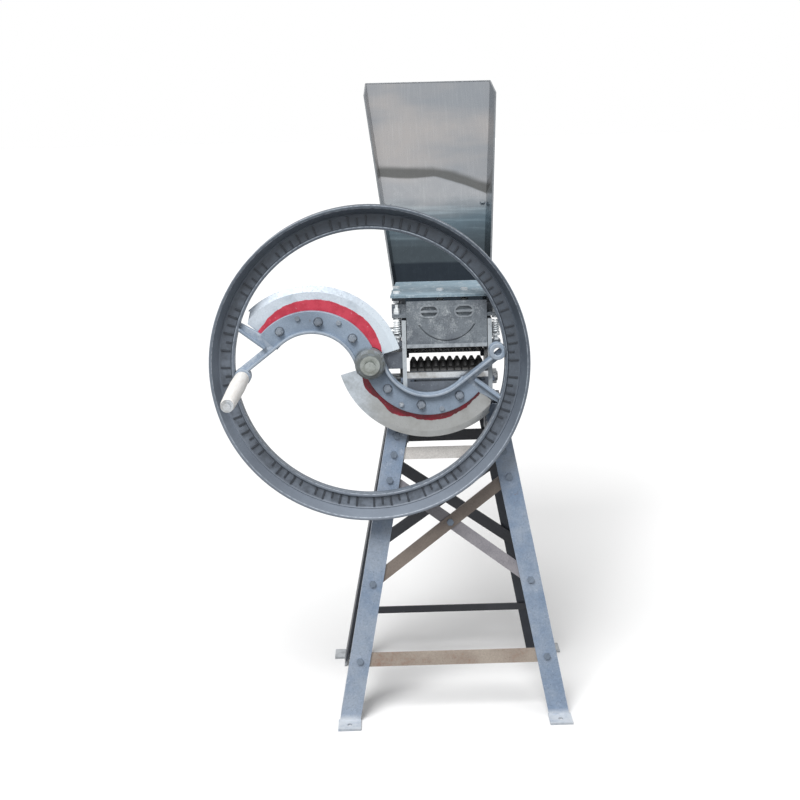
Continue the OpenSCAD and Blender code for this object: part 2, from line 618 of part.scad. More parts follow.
// Lower part of a ring on the plate, starting so far in front of it
module smile(r0, r1, front, h) intersection() {
    translate([0, face_front - front, face_low + 15 + smile_r]) rotate([-90, 0, 0]) difference() {
        cylinder(r = r1, h = h);
        if (r0 > 0) translate([0, 0, -1]) cylinder(r = r0, h = h + 2);
    }
    translate([-smile_r, face_front - front - 1, face_low + 14]) cube([2*smile_r, h + 2, smile_top - 14]);
}
module face_plate() color(cast_mid) difference() {
    union() {
        translate([-face_x, face_front, face_low]) cube([2*face_x, face_t, face_h]);
        // Lip along the mouth, the raised panel, and the brows round the recesses
        translate([-face_x, face_front - 1, face_low]) cube([2*face_x, 2, 9]);
        smile(0, smile_r - groove_w, 1, 2);
        for (side = [-1, 1]) translate([side*recess_x, face_front - 1, face_low + recess_up]) rotate([-90, 0, 0]) long_hole(recess_r + brow_w, 2);
        for (side = [0, 1]) mirror([side, 0, 0]) {
            translate([face_x - 1, face_front + 2, ear_z])
                cube([spring_x + 12 - face_x + 1, gusset_y + gusset_t - face_front - 2, ear_t]);
            translate([face_x - 1, gusset_y, ear_z]) cube([spring_x + 12 - face_x + 1, gusset_t, 30]);
            translate([arm_x0, face_front + face_t - 1, upper_z - block_h/2])
                cube([face_x - arm_x0, roll_y - block_w/2 - face_front - face_t + 1, block_h]);
        }
    }
    // Two long recesses, each crossed by a bar, and the groove round the panel
    for (side = [-1, 1]) translate([side*recess_x, face_front - 2, face_low + recess_up]) rotate([-90, 0, 0]) difference() {
        long_hole(recess_r, recess_d + 2);
        translate([-3*recess_r, -2.5, -1]) cube([6*recess_r, 5, recess_d + 4]);
    }
    smile(smile_r - groove_w, smile_r, 2, 5);
    for (side = [-1, 1]) translate([side*spring_x, spring_y, ear_z - 1]) cylinder(r = rod_d/2 + gap, h = ear_t + 2);
}

// Bearing blocks of the upper roll, floating in the cheek windows
module upper_blocks() color(cast_dark) for (side = [0, 1]) mirror([side, 0, 0])
    translate([arm_x0, roll_y, upper_z]) rotate([0, 90, 0]) difference() {
        translate([-block_h/2, -block_w/2, 0]) cube([block_h, block_w, cheek_x - arm_x0]);
        translate([0, 0, -1]) cylinder(r = roll_shaft_d/2 + running, h = cheek_x - arm_x0 + 2);
    }

// Screwed hangers through the ears that hold the springs' upper ends
module spring_hangers() color(zinc) for (side = [-1, 1]) translate([side*spring_x, spring_y, 0]) {
    translate([0, 0, spring_high + gap]) cylinder(r = seat_r, h = seat_t);
    translate([0, 0, spring_high + seat_t]) cylinder(r = rod_d*0.8, h = ear_z - spring_high - seat_t);
    translate([0, 0, spring_high + 1]) cylinder(d = rod_d, h = ear_z - spring_high + ear_t + 2.75*rod_d - 1);
    for (z = [0, rod_d*0.8]) translate([0, 0, ear_z + ear_t + z]) cylinder(r = rod_d*0.95 - z/rod_d*0.8, h = rod_d*0.8, $fn = 6);
}

// A cast feed roll: saw-edged rings cut across by flutes
roll_half = arm_x0 - 1.5;
ring_p = 2*roll_half/ring_n;
flute_r = 7;
module roll() rotate([0, 90, 0]) difference() {
    rotate_extrude() polygon(concat([[roll_shaft_d/2 + press, -roll_half], [roll_r - tooth_h, -roll_half]],
        [for (i = [0:ring_n - 1], q = [[0, 0], [0.34, 1], [0.66, 1], [1, 0]])
            if (i == 0 || q[0] > 0) [roll_r - tooth_h*(1 - q[1]), -roll_half + (i + q[0])*ring_p]],
        [[roll_shaft_d/2 + press, roll_half]]));
    for (k = [0:flute_n - 1]) rotate([0, 0, (k + 0.5)*360/flute_n])
        translate([roll_r + flute_r - tooth_h*0.7, 0, -roll_half - 1]) cylinder(r = flute_r, h = 2*roll_half + 2, $fn = 32);
}
module upper_roll() color(cast_dark) translate([0, roll_y, upper_z]) roll();
module lower_roll() color(cast_dark) translate([0, roll_y, lower_z]) roll();

collar_w = 10;
collar_r = roll_shaft_d/2 + 7;
gear_end = -shaft_x - gear_w/2 - 5;
shaft_end = cheek_x + 5 + collar_w;
module roll_shaft(z) color(steel) translate([gear_end, roll_y, z]) rotate([0, 90, 0])
    cylinder(d = roll_shaft_d, h = shaft_end + 3 - gear_end);
module upper_roll_shaft() roll_shaft(upper_z);
module lower_roll_shaft() roll_shaft(lower_z);
module roll_collar(z) color(steel) translate([shaft_end - collar_w, roll_y, z]) rotate([0, 90, 0]) difference() {
    cylinder(r = collar_r, h = collar_w);
    translate([0, 0, -1]) cylinder(r = roll_shaft_d/2 + press, h = collar_w + 2);
}
module upper_collar() roll_collar(upper_z);
module lower_collar() roll_collar(lower_z);

// Worm gears; tooth and thread are thinned so that straight teeth clear the helix
tooth_half = gear_m*0.56;
tooth_slope = 0.25;
module worm_gear(turn) rotate([0, 90, 0]) rotate([0, 0, turn]) difference() {
    union() {
        translate([0, 0, -gear_w/2]) linear_extrude(gear_w) polygon([for (i = [0:gear_n - 1], q = [[-1.25, -1], [1, -1], [1, 1], [-1.25, 1]])
            let(r = gear_pr + q[0]*gear_m, s = q[1]*(tooth_half - q[0]*gear_m*tooth_slope))
            r*[cos(i*360/gear_n + s/r*180/PI), sin(i*360/gear_n + s/r*180/PI)]]);
        translate([0, 0, -gear_w/2 - 3]) cylinder(r = roll_shaft_d/2 + 9, h = gear_w + 6);
    }
    translate([0, 0, -gear_w]) cylinder(r = roll_shaft_d/2 + press, h = 2*gear_w);
}
// The upper gear has a gap over the thread's crest, the lower one a tooth in its groove
module upper_gear() color(cast_dark) translate([-shaft_x, roll_y, upper_z]) worm_gear(180/gear_n);
module lower_gear() color(cast_dark) translate([-shaft_x, roll_y, lower_z]) worm_gear(180);

// Main shaft with its keyway, the worm and the collars on it
shaft_front = mouth_face - shear_gap - knife_t - arm_t - rib_h - 30;
shaft_rear = rear_arm[0] + rear_arm[1] + 16;
key_w = 8;
key_h = 7;
hub_back = mouth_face - 4;
hub_l = 40;
key_l = hub_l - 4;
module main_shaft() color(steel) difference() {
    translate([-shaft_x, shaft_front, shaft_h]) rotate([-90, 0, 0]) cylinder(d = shaft_d, h = shaft_rear - shaft_front);
    translate([-shaft_x - key_w/2, hub_back - key_l - 2, shaft_h + shaft_d/2 - key_h/2]) cube([key_w, key_l, key_h]);
}

lead = PI*gear_m;
thread_turns = worm_l/lead - 0.6;
thread_steps = 24;
root_r = worm_pr - 1.25*gear_m;
thread_n = round(thread_turns*thread_steps);
function thread_ring(i) = let(a = (i - thread_n/2)*360/thread_steps, y = lead*a/360, in = root_r - 1, out = worm_pr + gear_m)
    [for (q = [[in, -1], [in, 1], [out, 1], [out, -1]])
        let(s = q[1]*(tooth_half - (q[0] - worm_pr)*tooth_slope)) [q[0]*sin(a), y + s, q[0]*cos(a)]];
module worm() color(cast_dark) translate([-shaft_x, roll_y, shaft_h]) difference() {
    union() {
        translate([0, -worm_l/2, 0]) rotate([-90, 0, 0]) cylinder(r = root_r, h = worm_l);
        skin([for (i = [0:thread_n]) thread_ring(i)]);
    }
    translate([0, -worm_l, 0]) rotate([-90, 0, 0]) cylinder(r = shaft_d/2 + press, h = 2*worm_l);
}

module shaft_ring(y, l, r) translate([-shaft_x, y, shaft_h]) rotate([-90, 0, 0]) difference() {
    cylinder(r = r, h = l);
    translate([0, 0, -1]) cylinder(r = shaft_d/2 + press, h = l + 2);
}
module rear_shaft_collar() color(steel) shaft_ring(rear_arm[0] + rear_arm[1] + gap, 12, shaft_d/2 + 8);
module thrust_washer() color(bronze) shaft_ring(hub_back, front_arm[0] - hub_back - gap, shaft_d/2 + 8);

// Flywheel: drawn facing the viewer, then stood up on the shaft at the shear face
module on_wheel() translate([-shaft_x, mouth_face, shaft_h]) rotate([90, 0, 0]) children();
knife_z = shear_gap;
web_z = knife_z + knife_t;
web_front = web_z + arm_t;
rim_z = 5;
rim_web = 24;
rim_in = wheel_r - rim_w;
arm_c = arm_off*[cos(arm_dir), sin(arm_dir)];
boss_c = boss_pr*[cos(boss_dir), sin(boss_dir)];
fork_a = -50;
fork_start = arm_c + arm_in*[cos(fork_a), sin(fork_a)];
prong_dir = atan2(boss_c[1] - fork_start[1], boss_c[0] - fork_start[0]);
prong_w = 20;
prong_l = norm(boss_c - fork_start) + 30;
tuck = 0.5;
prong_along = [cos(prong_dir), sin(prong_dir)];
prong_across = [sin(prong_dir), -cos(prong_dir)];
prong_start = fork_start - 4*prong_along + tuck*prong_across;
rib_start = prong_start - tuck*prong_along + tuck*prong_across;
boss_back = rim_z + tuck;
boss_front = web_front + rib_h + 2;
rib_w = 9;
apex = fork_start + 42*prong_along + (prong_w - 2*tuck)*prong_across;
rim_foot = (rim_in + 6)*[cos(-16), sin(-16)];
foot_dir = atan2(rim_foot[1] - apex[1], rim_foot[0] - apex[0]);
foot_start = apex + tuck*[sin(foot_dir), -cos(foot_dir)];
knife_span = [196, 319];
bolt_r = (arm_in + arm_out)/2 + 2;
knife_bolt_a = [223, 262, 303];
set_a = [243, 282];
set_r = arm_out - 13;
knife_bolt_d = 10;
set_d = 7;

// Ring sector about an arm's arc centre
module sector(r0, r1, a0, a1, z, h) translate([arm_c[0], arm_c[1], z]) intersection() {
    difference() {
        cylinder(r = r1, h = h, $fn = 128);
        translate([0, 0, -1]) cylinder(r = r0, h = h + 2, $fn = 128);
    }
    translate([0, 0, -1]) linear_extrude(h + 2) polygon(concat([[0, 0]], [for (i = [0:4]) 2*r1*[cos(a0 + (a1 - a0)*i/4), sin(a0 + (a1 - a0)*i/4)]]));
}
module bar_from(p, dir, l, w, z, h) translate([p[0], p[1], z]) rotate([0, 0, dir]) translate([0, -w, 0]) cube([l, w, h]);

// The pieces of an arm sink into each other by small steps, as the fillets of a casting do
module arm() {
    sector(arm_in, arm_out, 184, 360 + fork_a + 10, web_z, arm_t);
    translate([0, 0, web_z + tuck]) linear_extrude(arm_t - 2*tuck) polygon([
        arm_c + (arm_in + 6)*[cos(fork_a - 2), sin(fork_a - 2)], apex, rim_foot, (rim_in + 12)*[cos(-19.5), sin(-19.5)],
        arm_c + (arm_out - 1)*[cos(-42), sin(-42)], arm_c + (arm_out - 2)*[cos(fork_a), sin(fork_a)]]);
    bar_from(prong_start, prong_dir, prong_l, prong_w, web_z + 2*tuck, arm_t - 4*tuck);
    sector(arm_in + tuck, arm_in + rib_w, 184.5, 361 + fork_a, web_z + 3*tuck, arm_t + rib_h - 3*tuck);
    bar_from(rib_start, prong_dir, prong_l - 8, rib_w, web_z + 4*tuck, arm_t + rib_h - 5*tuck);
    bar_from(foot_start, foot_dir, norm(rim_foot - apex) + 2, rib_w, web_z + 5*tuck, arm_t + rib_h - 3 - 5*tuck);
    translate([boss_c[0], boss_c[1], boss_back]) cylinder(r = boss_r, h = boss_front - boss_back);
    for (a = knife_bolt_a) translate([arm_c[0] + bolt_r*cos(a), arm_c[1] + bolt_r*sin(a), web_z + 6*tuck])
        cylinder(r = 13, h = arm_t + 2 - 6*tuck);
}
module arm_holes() {
    for (a = knife_bolt_a) translate([arm_c[0] + bolt_r*cos(a), arm_c[1] + bolt_r*sin(a), -1]) cylinder(r = knife_bolt_d/2 + gap, h = 60);
    for (a = set_a) translate([arm_c[0] + set_r*cos(a), arm_c[1] + set_r*sin(a), web_z + 2]) cylinder(r = set_d/2 + gap, h = 60);
    translate([boss_c[0], boss_c[1], -1]) cylinder(r = spindle_d/2 + press, h = 80);
}
module flywheel() color(cast_dark) on_wheel() difference() {
    union() {
        translate([0, 0, rim_z]) rotate_extrude($fn = 128) polygon([[rim_in, 0], [wheel_r, 0], [wheel_r, rim_d],
            [wheel_r - 9, rim_d], [wheel_r - 26, rim_web - rim_z], [wheel_r - 29, rim_web - rim_z + 3], [wheel_r - 33, rim_web - rim_z],
            [rim_in + 9, rim_web - rim_z], [rim_in + 6, rim_web - rim_z + 7], [rim_in, rim_web - rim_z + 7]]);
        for (turn = [0, 180]) rotate([0, 0, turn]) arm();
        translate([0, 0, mouth_face - hub_back]) cylinder(r = hub_r, h = hub_l - 8);
        translate([0, 0, mouth_face - hub_back]) cylinder(r = hub_r - 4, h = hub_l);
    }
    for (turn = [0, 180]) rotate([0, 0, turn]) arm_holes();
    translate([0, 0, -1]) cylinder(r = shaft_d/2 + press, h = 90);
    translate([-key_w/2 - press, 0, 0]) cube([key_w + 2*press, shaft_d/2 + key_h/2 + press, 90]);
}

module hub_key() color(steel)
    translate([-shaft_x - key_w/2 + press, hub_back - key_l - 2 + press, shaft_h + shaft_d/2 - key_h/2 + press])
        cube([key_w - 2*press, key_l - 2*press, key_h - 2*press]);

module hub_washer() color(steel) shaft_ring(hub_back - hub_l - 5, 5, shaft_d/2 + 11);

// Knives: curved blades bolted behind the arms, bevelled to the cutting edge
bevel_w = 15;
head_r = 9;
head_h = 4;
module knife_solid() difference() {
    sector(arm_out - 24, knife_r, knife_span[0], knife_span[1], knife_z, knife_t);
    translate([arm_c[0], arm_c[1], 0]) rotate_extrude($fn = 128) polygon([[knife_r - bevel_w, web_z + 1], [knife_r - bevel_w, web_z],
        [knife_r, knife_z + 1], [knife_r + 5, knife_z + 1], [knife_r + 5, web_z + 1]]);
    translate([0, 0, -1]) cylinder(r = hub_r + 1.5, h = 30);
    // Clipped corner at the rim end, and countersunk bolt holes
    translate([arm_c[0], arm_c[1], -1]) rotate([0, 0, knife_span[1] - 7]) translate([knife_r - 4, 0, 0]) rotate([0, 0, 35]) cube([knife_r - arm_out + 1, knife_r - arm_out + 1, 2*web_z + arm_t]);
    for (a = knife_bolt_a) translate([arm_c[0] + bolt_r*cos(a), arm_c[1] + bolt_r*sin(a), 0]) {
        translate([0, 0, -1]) cylinder(r = knife_bolt_d/2 + gap, h = 30);
        translate([0, 0, knife_z]) cylinder(r1 = head_r + gap, r2 = knife_bolt_d/2 + gap, h = head_h);
    }
}
module knife_right() color(steel) on_wheel() knife_solid();
module knife_left() color(steel) on_wheel() rotate([0, 0, 180]) knife_solid();

// Knife bolts: heads sunk flush in the knives' backs, nuts on the arms' faces
module knife_bolts() color(zinc) on_wheel() for (turn = [0, 180], a = knife_bolt_a) rotate([0, 0, turn])
    translate([arm_c[0] + bolt_r*cos(a), arm_c[1] + bolt_r*sin(a), 0]) {
        translate([0, 0, knife_z]) cylinder(r1 = head_r, r2 = knife_bolt_d/2, h = head_h);
        translate([0, 0, knife_z]) cylinder(d = knife_bolt_d, h = web_front + 13 - knife_z);
        translate([0, 0, web_front + 2]) cylinder(r = knife_bolt_d*0.95, h = knife_bolt_d*0.75, $fn = 6);
    }
module set_screws() color(zinc) on_wheel() for (turn = [0, 180], a = set_a) rotate([0, 0, turn])
    translate([arm_c[0] + set_r*cos(a), arm_c[1] + set_r*sin(a), 0]) {
        translate([0, 0, web_z + 2 + gap]) cylinder(d = set_d, h = arm_t);
        translate([0, 0, web_front]) cylinder(r = set_d*0.95, h = set_d*0.7, $fn = 6);
    }

// Crank handle: a steel spindle riveted in the left boss, and a turning wooden grip
collar_l = 8;
grip_bore = spindle_d/2 - 1.5;
grip_z = boss_front + collar_l + gap;
module on_boss() on_wheel() translate([-boss_c[0], -boss_c[1], 0]) children();
module handle_spindle() color(steel) on_boss() {
    translate([0, 0, boss_back]) cylinder(d = spindle_d, h = boss_front - boss_back + 1);
    translate([0, 0, boss_front]) cylinder(r = spindle_d/2 + 6, h = collar_l);
    translate([0, 0, boss_front]) cylinder(r = grip_bore - running, h = collar_l + grip_l + 12);
}
module grip() color([0.86, 0.84, 0.80]) on_boss() translate([0, 0, grip_z]) rotate_extrude() polygon([
    [grip_bore, 0], [grip_d/2 - 4, 0], [grip_d/2 - 1, 4], [grip_d/2, 0.3*grip_l], [grip_d/2 - 1, 0.6*grip_l],
    [grip_d/2 - 3.5, grip_l - 6], [grip_d/2 - 6, grip_l], [grip_bore, grip_l]]);
module grip_washer() color(steel) on_boss() translate([0, 0, grip_z + grip_l + gap]) difference() {
    cylinder(r = grip_d/2 - 5, h = 4);
    translate([0, 0, -1]) cylinder(r = grip_bore - running + press, h = 6);
}

module front_leg_left() color(leg_blue) leg(true, -1);
module front_leg_right() color(leg_blue) leg(true, 1);
module rear_leg_left() color(charcoal) leg(false, -1);
module rear_leg_right() color(charcoal) leg(false, 1);
module front_lower_bar() color(rusty) cross_bar(true, low_bar_z, low_bar_w);
module rear_lower_bar() color(charcoal) cross_bar(false, low_bar_z, rear_bar_w);
module front_upper_bar() color(lavender) cross_bar(true, up_bar_z, up_bar_w);
module rear_upper_bar() color(charcoal) cross_bar(false, up_bar_z, up_bar_w);
module front_brace_outer() color(rusty) brace(true, 1, 0);
module front_brace_inner() color(lavender) brace(true, -1, 1);
module rear_brace_outer() color(charcoal) brace(false, 1, 0);
module rear_brace_inner() color(charcoal) brace(false, -1, 1);

front_leg_left();
front_leg_right();
rear_leg_left();
rear_leg_right();
front_lower_bar();
rear_lower_bar();
front_upper_bar();
rear_upper_bar();
front_brace_outer();
front_brace_inner();
rear_brace_outer();
rear_brace_inner();
stand_bolts();
head_bolts();
cheek_left();
cheek_right();
mouth_sill();
sill_bolts();
ledger_bar();
rear_bed();
top_plate();
cover_bar();
cover_bolts();
lower_bushes();
shaft_bracket();
bracket_screws();
shaft_bushes();
spring_rods();
spring_left();
spring_right();
tray_floor();
tray_walls();
tray_stays();
tray_clips();
tray_bolts();
face_plate();
upper_blocks();
spring_hangers();
upper_roll();
upper_roll_shaft();
upper_gear();
upper_collar();
lower_roll();
lower_roll_shaft();
lower_gear();
lower_collar();
main_shaft();
worm();
rear_shaft_collar();
thrust_washer();
flywheel();
hub_key();
hub_washer();
knife_right();
knife_left();
knife_bolts();
set_screws();
handle_spindle();
grip();
grip_washer();
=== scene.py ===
import math

import bmesh
import bpy
import numpy as np
from mathutils import Matrix, Vector


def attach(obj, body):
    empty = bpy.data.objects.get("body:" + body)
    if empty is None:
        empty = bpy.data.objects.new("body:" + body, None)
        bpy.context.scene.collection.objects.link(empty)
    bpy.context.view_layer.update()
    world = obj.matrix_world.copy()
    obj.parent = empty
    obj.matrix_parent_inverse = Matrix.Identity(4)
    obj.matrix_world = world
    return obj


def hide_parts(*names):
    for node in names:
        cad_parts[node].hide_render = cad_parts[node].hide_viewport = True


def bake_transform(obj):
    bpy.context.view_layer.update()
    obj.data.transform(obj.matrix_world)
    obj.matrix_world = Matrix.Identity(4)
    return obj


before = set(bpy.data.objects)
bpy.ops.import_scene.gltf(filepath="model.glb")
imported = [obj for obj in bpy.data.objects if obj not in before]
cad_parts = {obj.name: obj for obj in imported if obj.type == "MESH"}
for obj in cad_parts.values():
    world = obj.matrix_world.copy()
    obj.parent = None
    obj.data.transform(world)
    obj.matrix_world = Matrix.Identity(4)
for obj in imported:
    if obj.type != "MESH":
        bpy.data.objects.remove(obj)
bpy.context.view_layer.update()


# Legs: lengths of rolled angle iron with forged feet, steel blue at the front. The rear legs are
# painted charcoal as painted shade. The thin paint is rubbed to bare metal in places, has started
# to rust, and is scuffed away where the feet meet the ground.
def srgb(*rgb):
    """A paint chip's screen values, 0 to 255, as a linear colour with full alpha."""
    c = np.array(rgb) / 255
    return (*np.where(c <= 0.04045, c / 12.92, ((c + 0.055) / 1.055) ** 2.4).tolist(), 1.0)


def fill(nt, node, inputs):
    """Gives a node's sockets, by name or number, their values or their links."""
    for key, value in inputs.items():
        if isinstance(value, bpy.types.NodeSocket):
            nt.links.new(value, node.inputs[key])
        else:
            node.inputs[key].default_value = value


def put(nt, kind, inputs, **settings):
    """One shader node with its inputs; settings are its own options."""
    node = nt.nodes.new(kind)
    for key, value in settings.items():
        setattr(node, key, value)
    fill(nt, node, inputs)
    return node


def noise(nt, vector, scale, detail=4.0, rough=0.6):
    """Fractal noise from 0 to 1 at so many features a metre."""
    inputs = {"Vector": vector, "Scale": scale, "Detail": detail, "Roughness": rough}
    return put(nt, "ShaderNodeTexNoise", inputs).outputs["Fac"]


def spread(nt, value, low, high, to_low=0.0, to_high=1.0):
    """Stretches the part of a value between low and high, smoothly, to a new range."""
    inputs = {"Value": value, "From Min": low, "From Max": high, "To Min": to_low, "To Max": to_high}
    return put(nt, "ShaderNodeMapRange", inputs, interpolation_type="SMOOTHSTEP").outputs["Result"]


def falling(nt, value, low, high, most=1.0):
    """Falls smoothly from the most to nothing as a value goes from low to high."""
    return spread(nt, value, low, high, most, 0.0)


def sums(nt, kind, a, b):
    """One step of arithmetic on two values."""
    return put(nt, "ShaderNodeMath", {0: a, 1: b}, operation=kind).outputs[0]


def times(nt, product, *others):
    """The product of several values."""
    for value in others:
        product = sums(nt, "MULTIPLY", product, value)
    return product


def weighed(nt, *parts):
    """The sum of several values, each times its own weight."""
    total = times(nt, *parts[0])
    for part in parts[1:]:
        total = sums(nt, "ADD", total, times(nt, *part))
    return total


def axes(nt, vector):
    """A vector's three parts: right, away and up."""
    return put(nt, "ShaderNodeSeparateXYZ", {"Vector": vector}).outputs


def tint(nt, factor, a, b):
    """Colour a turning into colour b as the factor rises."""
    return put(nt, "ShaderNodeMix", {0: factor, 6: a, 7: b}, data_type="RGBA").outputs[2]


def scaled(nt, colour, shade):
    """A colour made lighter or darker by a value."""
    return put(nt, "ShaderNodeVectorMath", {0: colour, "Scale": shade}, operation="SCALE").outputs[0]


def new_group(name, takes, gives):
    """An empty shader group: its tree, the sockets it takes and its end node. A socket's default
    says what it is: none for a vector, four numbers for a colour, one for a value."""
    kinds = {type(None): "NodeSocketVector", tuple: "NodeSocketColor", float: "NodeSocketFloat"}
    nt = bpy.data.node_groups.new(name, "ShaderNodeTree")
    for socket, default in takes.items():
        made = nt.interface.new_socket(socket, in_out="INPUT", socket_type=kinds[type(default)])
        if default is not None:
            made.default_value = default
    for socket in gives:
        kind = "NodeSocketColor" if socket == "Color" else "NodeSocketFloat"
        nt.interface.new_socket(socket, in_out="OUTPUT", socket_type=kind)
    return nt, nt.nodes.new("NodeGroupInput").outputs, nt.nodes.new("NodeGroupOutput")


def use_group(nt, name, inputs):
    """What a named group gives when it is placed in a material with these inputs."""
    return put(nt, "ShaderNodeGroup", inputs, node_tree=bpy.data.node_groups[name]).outputs


# Painted iron that has been out in the weather: two tones of paint, pale rubbed patches, dark
# pin holes of the rolled or cast skin, and rust that starts as spots
WHITE = (1.0, 1.0, 1.0, 1.0)
nt, take, give = new_group(
    "weathered_iron",
    {"Vector": None, "Paint": WHITE, "Deep": WHITE, "Bare": WHITE, "Rust": WHITE,
     "Wear": 0.3, "Rusting": 0.2, "Grain": 200.0},
    ["Color", "Roughness", "Metal", "Height"])
here = take["Vector"]
blotch = noise(nt, here, 11.0, 5.0, 0.65)
patch = noise(nt, here, 55.0, 5.0, 0.7)
grain = noise(nt, here, take["Grain"], 6.0, 0.7)
spots = noise(nt, here, 130.0, 3.0)
pores = noise(nt, here, times(nt, take["Grain"], 1.7), 2.0, 0.5)
bare_from = sums(nt, "SUBTRACT", 0.72, times(nt, take["Wear"], 0.3))
bared = spread(nt, weighed(nt, (patch, 0.6), (grain, 0.4)), bare_from, 0.76)
rust_from = sums(nt, "SUBTRACT", 0.72, times(nt, take["Rusting"], 0.3))
rusted = spread(nt, weighed(nt, (blotch, 0.55), (spots, 0.45)), rust_from, 0.74)
pitted = spread(nt, pores, 0.62, 0.72)
tone = tint(nt, spread(nt, blotch, 0.3, 0.7), take["Paint"], take["Deep"])
tone = tint(nt, bared, tone, take["Bare"])
tone = tint(nt, rusted, tone, take["Rust"])
shade = times(nt, spread(nt, grain, 0.25, 0.75, 0.84, 1.12), spread(nt, pitted, 0.0, 1.0, 1.0, 0.62))
metal_share = sums(nt, "SUBTRACT", 0.6, times(nt, rusted, 0.6))
fill(nt, give, {
    "Color": scaled(nt, tone, shade),
    "Roughness": sums(nt, "ADD", spread(nt, grain, 0.3, 0.7, 0.40, 0.62), times(nt, rusted, 0.25)),
    "Metal": times(nt, bared, metal_share),
    "Height": weighed(nt, (grain, 0.7), (rusted, 0.4), (bared, -0.2), (pitted, -0.35))})

# Places where a finish is rubbed, ground or soiled: a mask, broken up by patches of noise, takes
# the colour there over to another one
nt, take, give = new_group(
    "rubbed_places",
    {"Vector": None, "Color": WHITE, "Mask": 1.0, "Rubbed": WHITE,
     "Scale": 70.0, "Low": 0.3, "High": 0.6, "Least": 0.5, "Most": 1.0},
    ["Color"])
patchy = spread(nt, noise(nt, take["Vector"], take["Scale"]),
                take["Low"], take["High"], take["Least"], take["Most"])
fill(nt, give, {"Color": tint(nt, times(nt, take["Mask"], patchy), take["Color"], take["Rubbed"])})


def rub(nt, here, colour, mask, chip, scale, patches):
    """A colour that goes over to a chip under a mask. The patches give the noise's lower and
    upper end, and how much of the mask is left at each."""
    low, high, least, most = patches
    inputs = {"Vector": here, "Color": colour, "Mask": mask, "Rubbed": srgb(*chip), "Scale": scale,
              "Low": low, "High": high, "Least": least, "Most": most}
    return use_group(nt, "rubbed_places", inputs)["Color"]


def raised(nt, height, strength, distance):
    """The surface's normal with a fine relief on it."""
    inputs = {"Strength": strength, "Distance": distance, "Height": height}
    return put(nt, "ShaderNodeBump", inputs).outputs[0]


def place(nt):
    """The object's own coordinates, in metres from the frame's origin."""
    return put(nt, "ShaderNodeTexCoord", {}).outputs["Object"]


def fresh(name):
    """A new material: itself, its nodes and its shader."""
    mat = bpy.data.materials.new(name)
    mat.use_nodes = True
    return mat, mat.node_tree, mat.node_tree.nodes["Principled BSDF"]


def opened(mat):
    """A material to be added to: its nodes, its shader, its coordinates and its colour so far."""
    nt = mat.node_tree
    shader = nt.nodes["Principled BSDF"]
    return nt, shader, place(nt), shader.inputs["Base Color"].links[0].from_socket


def iron(name, paint, deep, bare, rust, wear, rusting, grain=200.0, relief=0.35, depth=0.0006):
    """A painted iron finish from its paint chips and how far it has worn and rusted."""
    mat, nt, shader = fresh(name)
    inputs = {"Vector": place(nt), "Paint": srgb(*paint), "Deep": srgb(*deep), "Bare": srgb(*bare),
              "Rust": srgb(*rust), "Wear": wear, "Rusting": rusting, "Grain": grain}
    finish = use_group(nt, "weathered_iron", inputs)
    fill(nt, shader, {
        "Base Color": finish["Color"], "Roughness": finish["Roughness"], "Metallic": finish["Metal"],
        "Normal": raised(nt, finish["Height"], relief, depth)})
    return mat


def dress(mat, *nodes):
    """Gives CAD nodes their finish."""
    for n in nodes:
        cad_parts[n].data.materials.clear()
        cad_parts[n].data.materials.append(mat)


front_paint = iron("front_leg_paint", (159, 171, 187), (126, 145, 170), (204, 210, 217), (122, 104, 96),
                   wear=0.5, rusting=0.36)
# Painted shade: the rear legs get a dark charcoal copy of the legs' paint
rear_shaded_paint = iron("rear_leg_painted_shade", (56, 61, 70), (44, 48, 56), (120, 124, 132), (98, 82, 74),
                  wear=0.2, rusting=0.3)
foot_top = 0.0055
scuff_top = 0.022
for leg_paint in (front_paint, rear_shaded_paint):
    nt, shader, here, painted = opened(leg_paint)
    on_foot = falling(nt, axes(nt, here)[2], foot_top, scuff_top, 0.75)
    scuffed = rub(nt, here, painted, on_foot, (210, 214, 218), 60.0, (0.3, 0.6, 0.6, 1.0))
    fill(nt, shader, {"Base Color": scuffed})
dress(front_paint, "front_leg_left", "front_leg_right")
dress(rear_shaded_paint, "rear_leg_left", "rear_leg_right")

# Crossbars and braces: flat bar cut from mixed stock and bolted inside the legs. The front
# lower bar and one brace have rusted brown and the others are greyer. The rear ones, with the
# tray's stays and clips, are painted charcoal as painted shade.
bar_grain = 260.0
dress(iron("rusty_bar", (175, 164, 153), (156, 143, 132), (202, 195, 188), (144, 114, 100),
           wear=0.35, rusting=0.6, grain=bar_grain), "front_lower_bar")
dress(iron("brown_bar", (132, 122, 114), (112, 102, 96), (178, 170, 164), (112, 84, 70),
           wear=0.3, rusting=0.6, grain=bar_grain), "front_brace_outer")
dress(iron("grey_bar", (158, 155, 160), (134, 132, 138), (200, 198, 200), (126, 108, 100),
           wear=0.3, rusting=0.35, grain=bar_grain), "front_brace_inner")
dress(iron("pale_bar", (228, 225, 221), (206, 202, 198), (238, 236, 234), (150, 130, 116),
           wear=0.3, rusting=0.25, grain=bar_grain), "front_upper_bar")
# Painted shade: the rear bars, stays and clips get the same dark charcoal
dress(iron("rear_bar_painted_shade", (60, 62, 68), (46, 48, 54), (126, 126, 130), (98, 80, 70),
           wear=0.2, rusting=0.35, grain=bar_grain),
      "rear_lower_bar", "rear_upper_bar", "rear_brace_outer", "rear_brace_inner", "tray_stays", "tray_clips")

# Bolts of the stand and head: black hexagon bolts with spacer rings, put in once the bars were
# in place and brushed over with the legs' paint.
dress(iron("bolt_paint", (130, 143, 159), (104, 115, 130), (186, 193, 200), (112, 92, 82),
           wear=0.5, rusting=0.35, grain=320.0), "stand_bolts", "head_bolts", "sill_bolts")

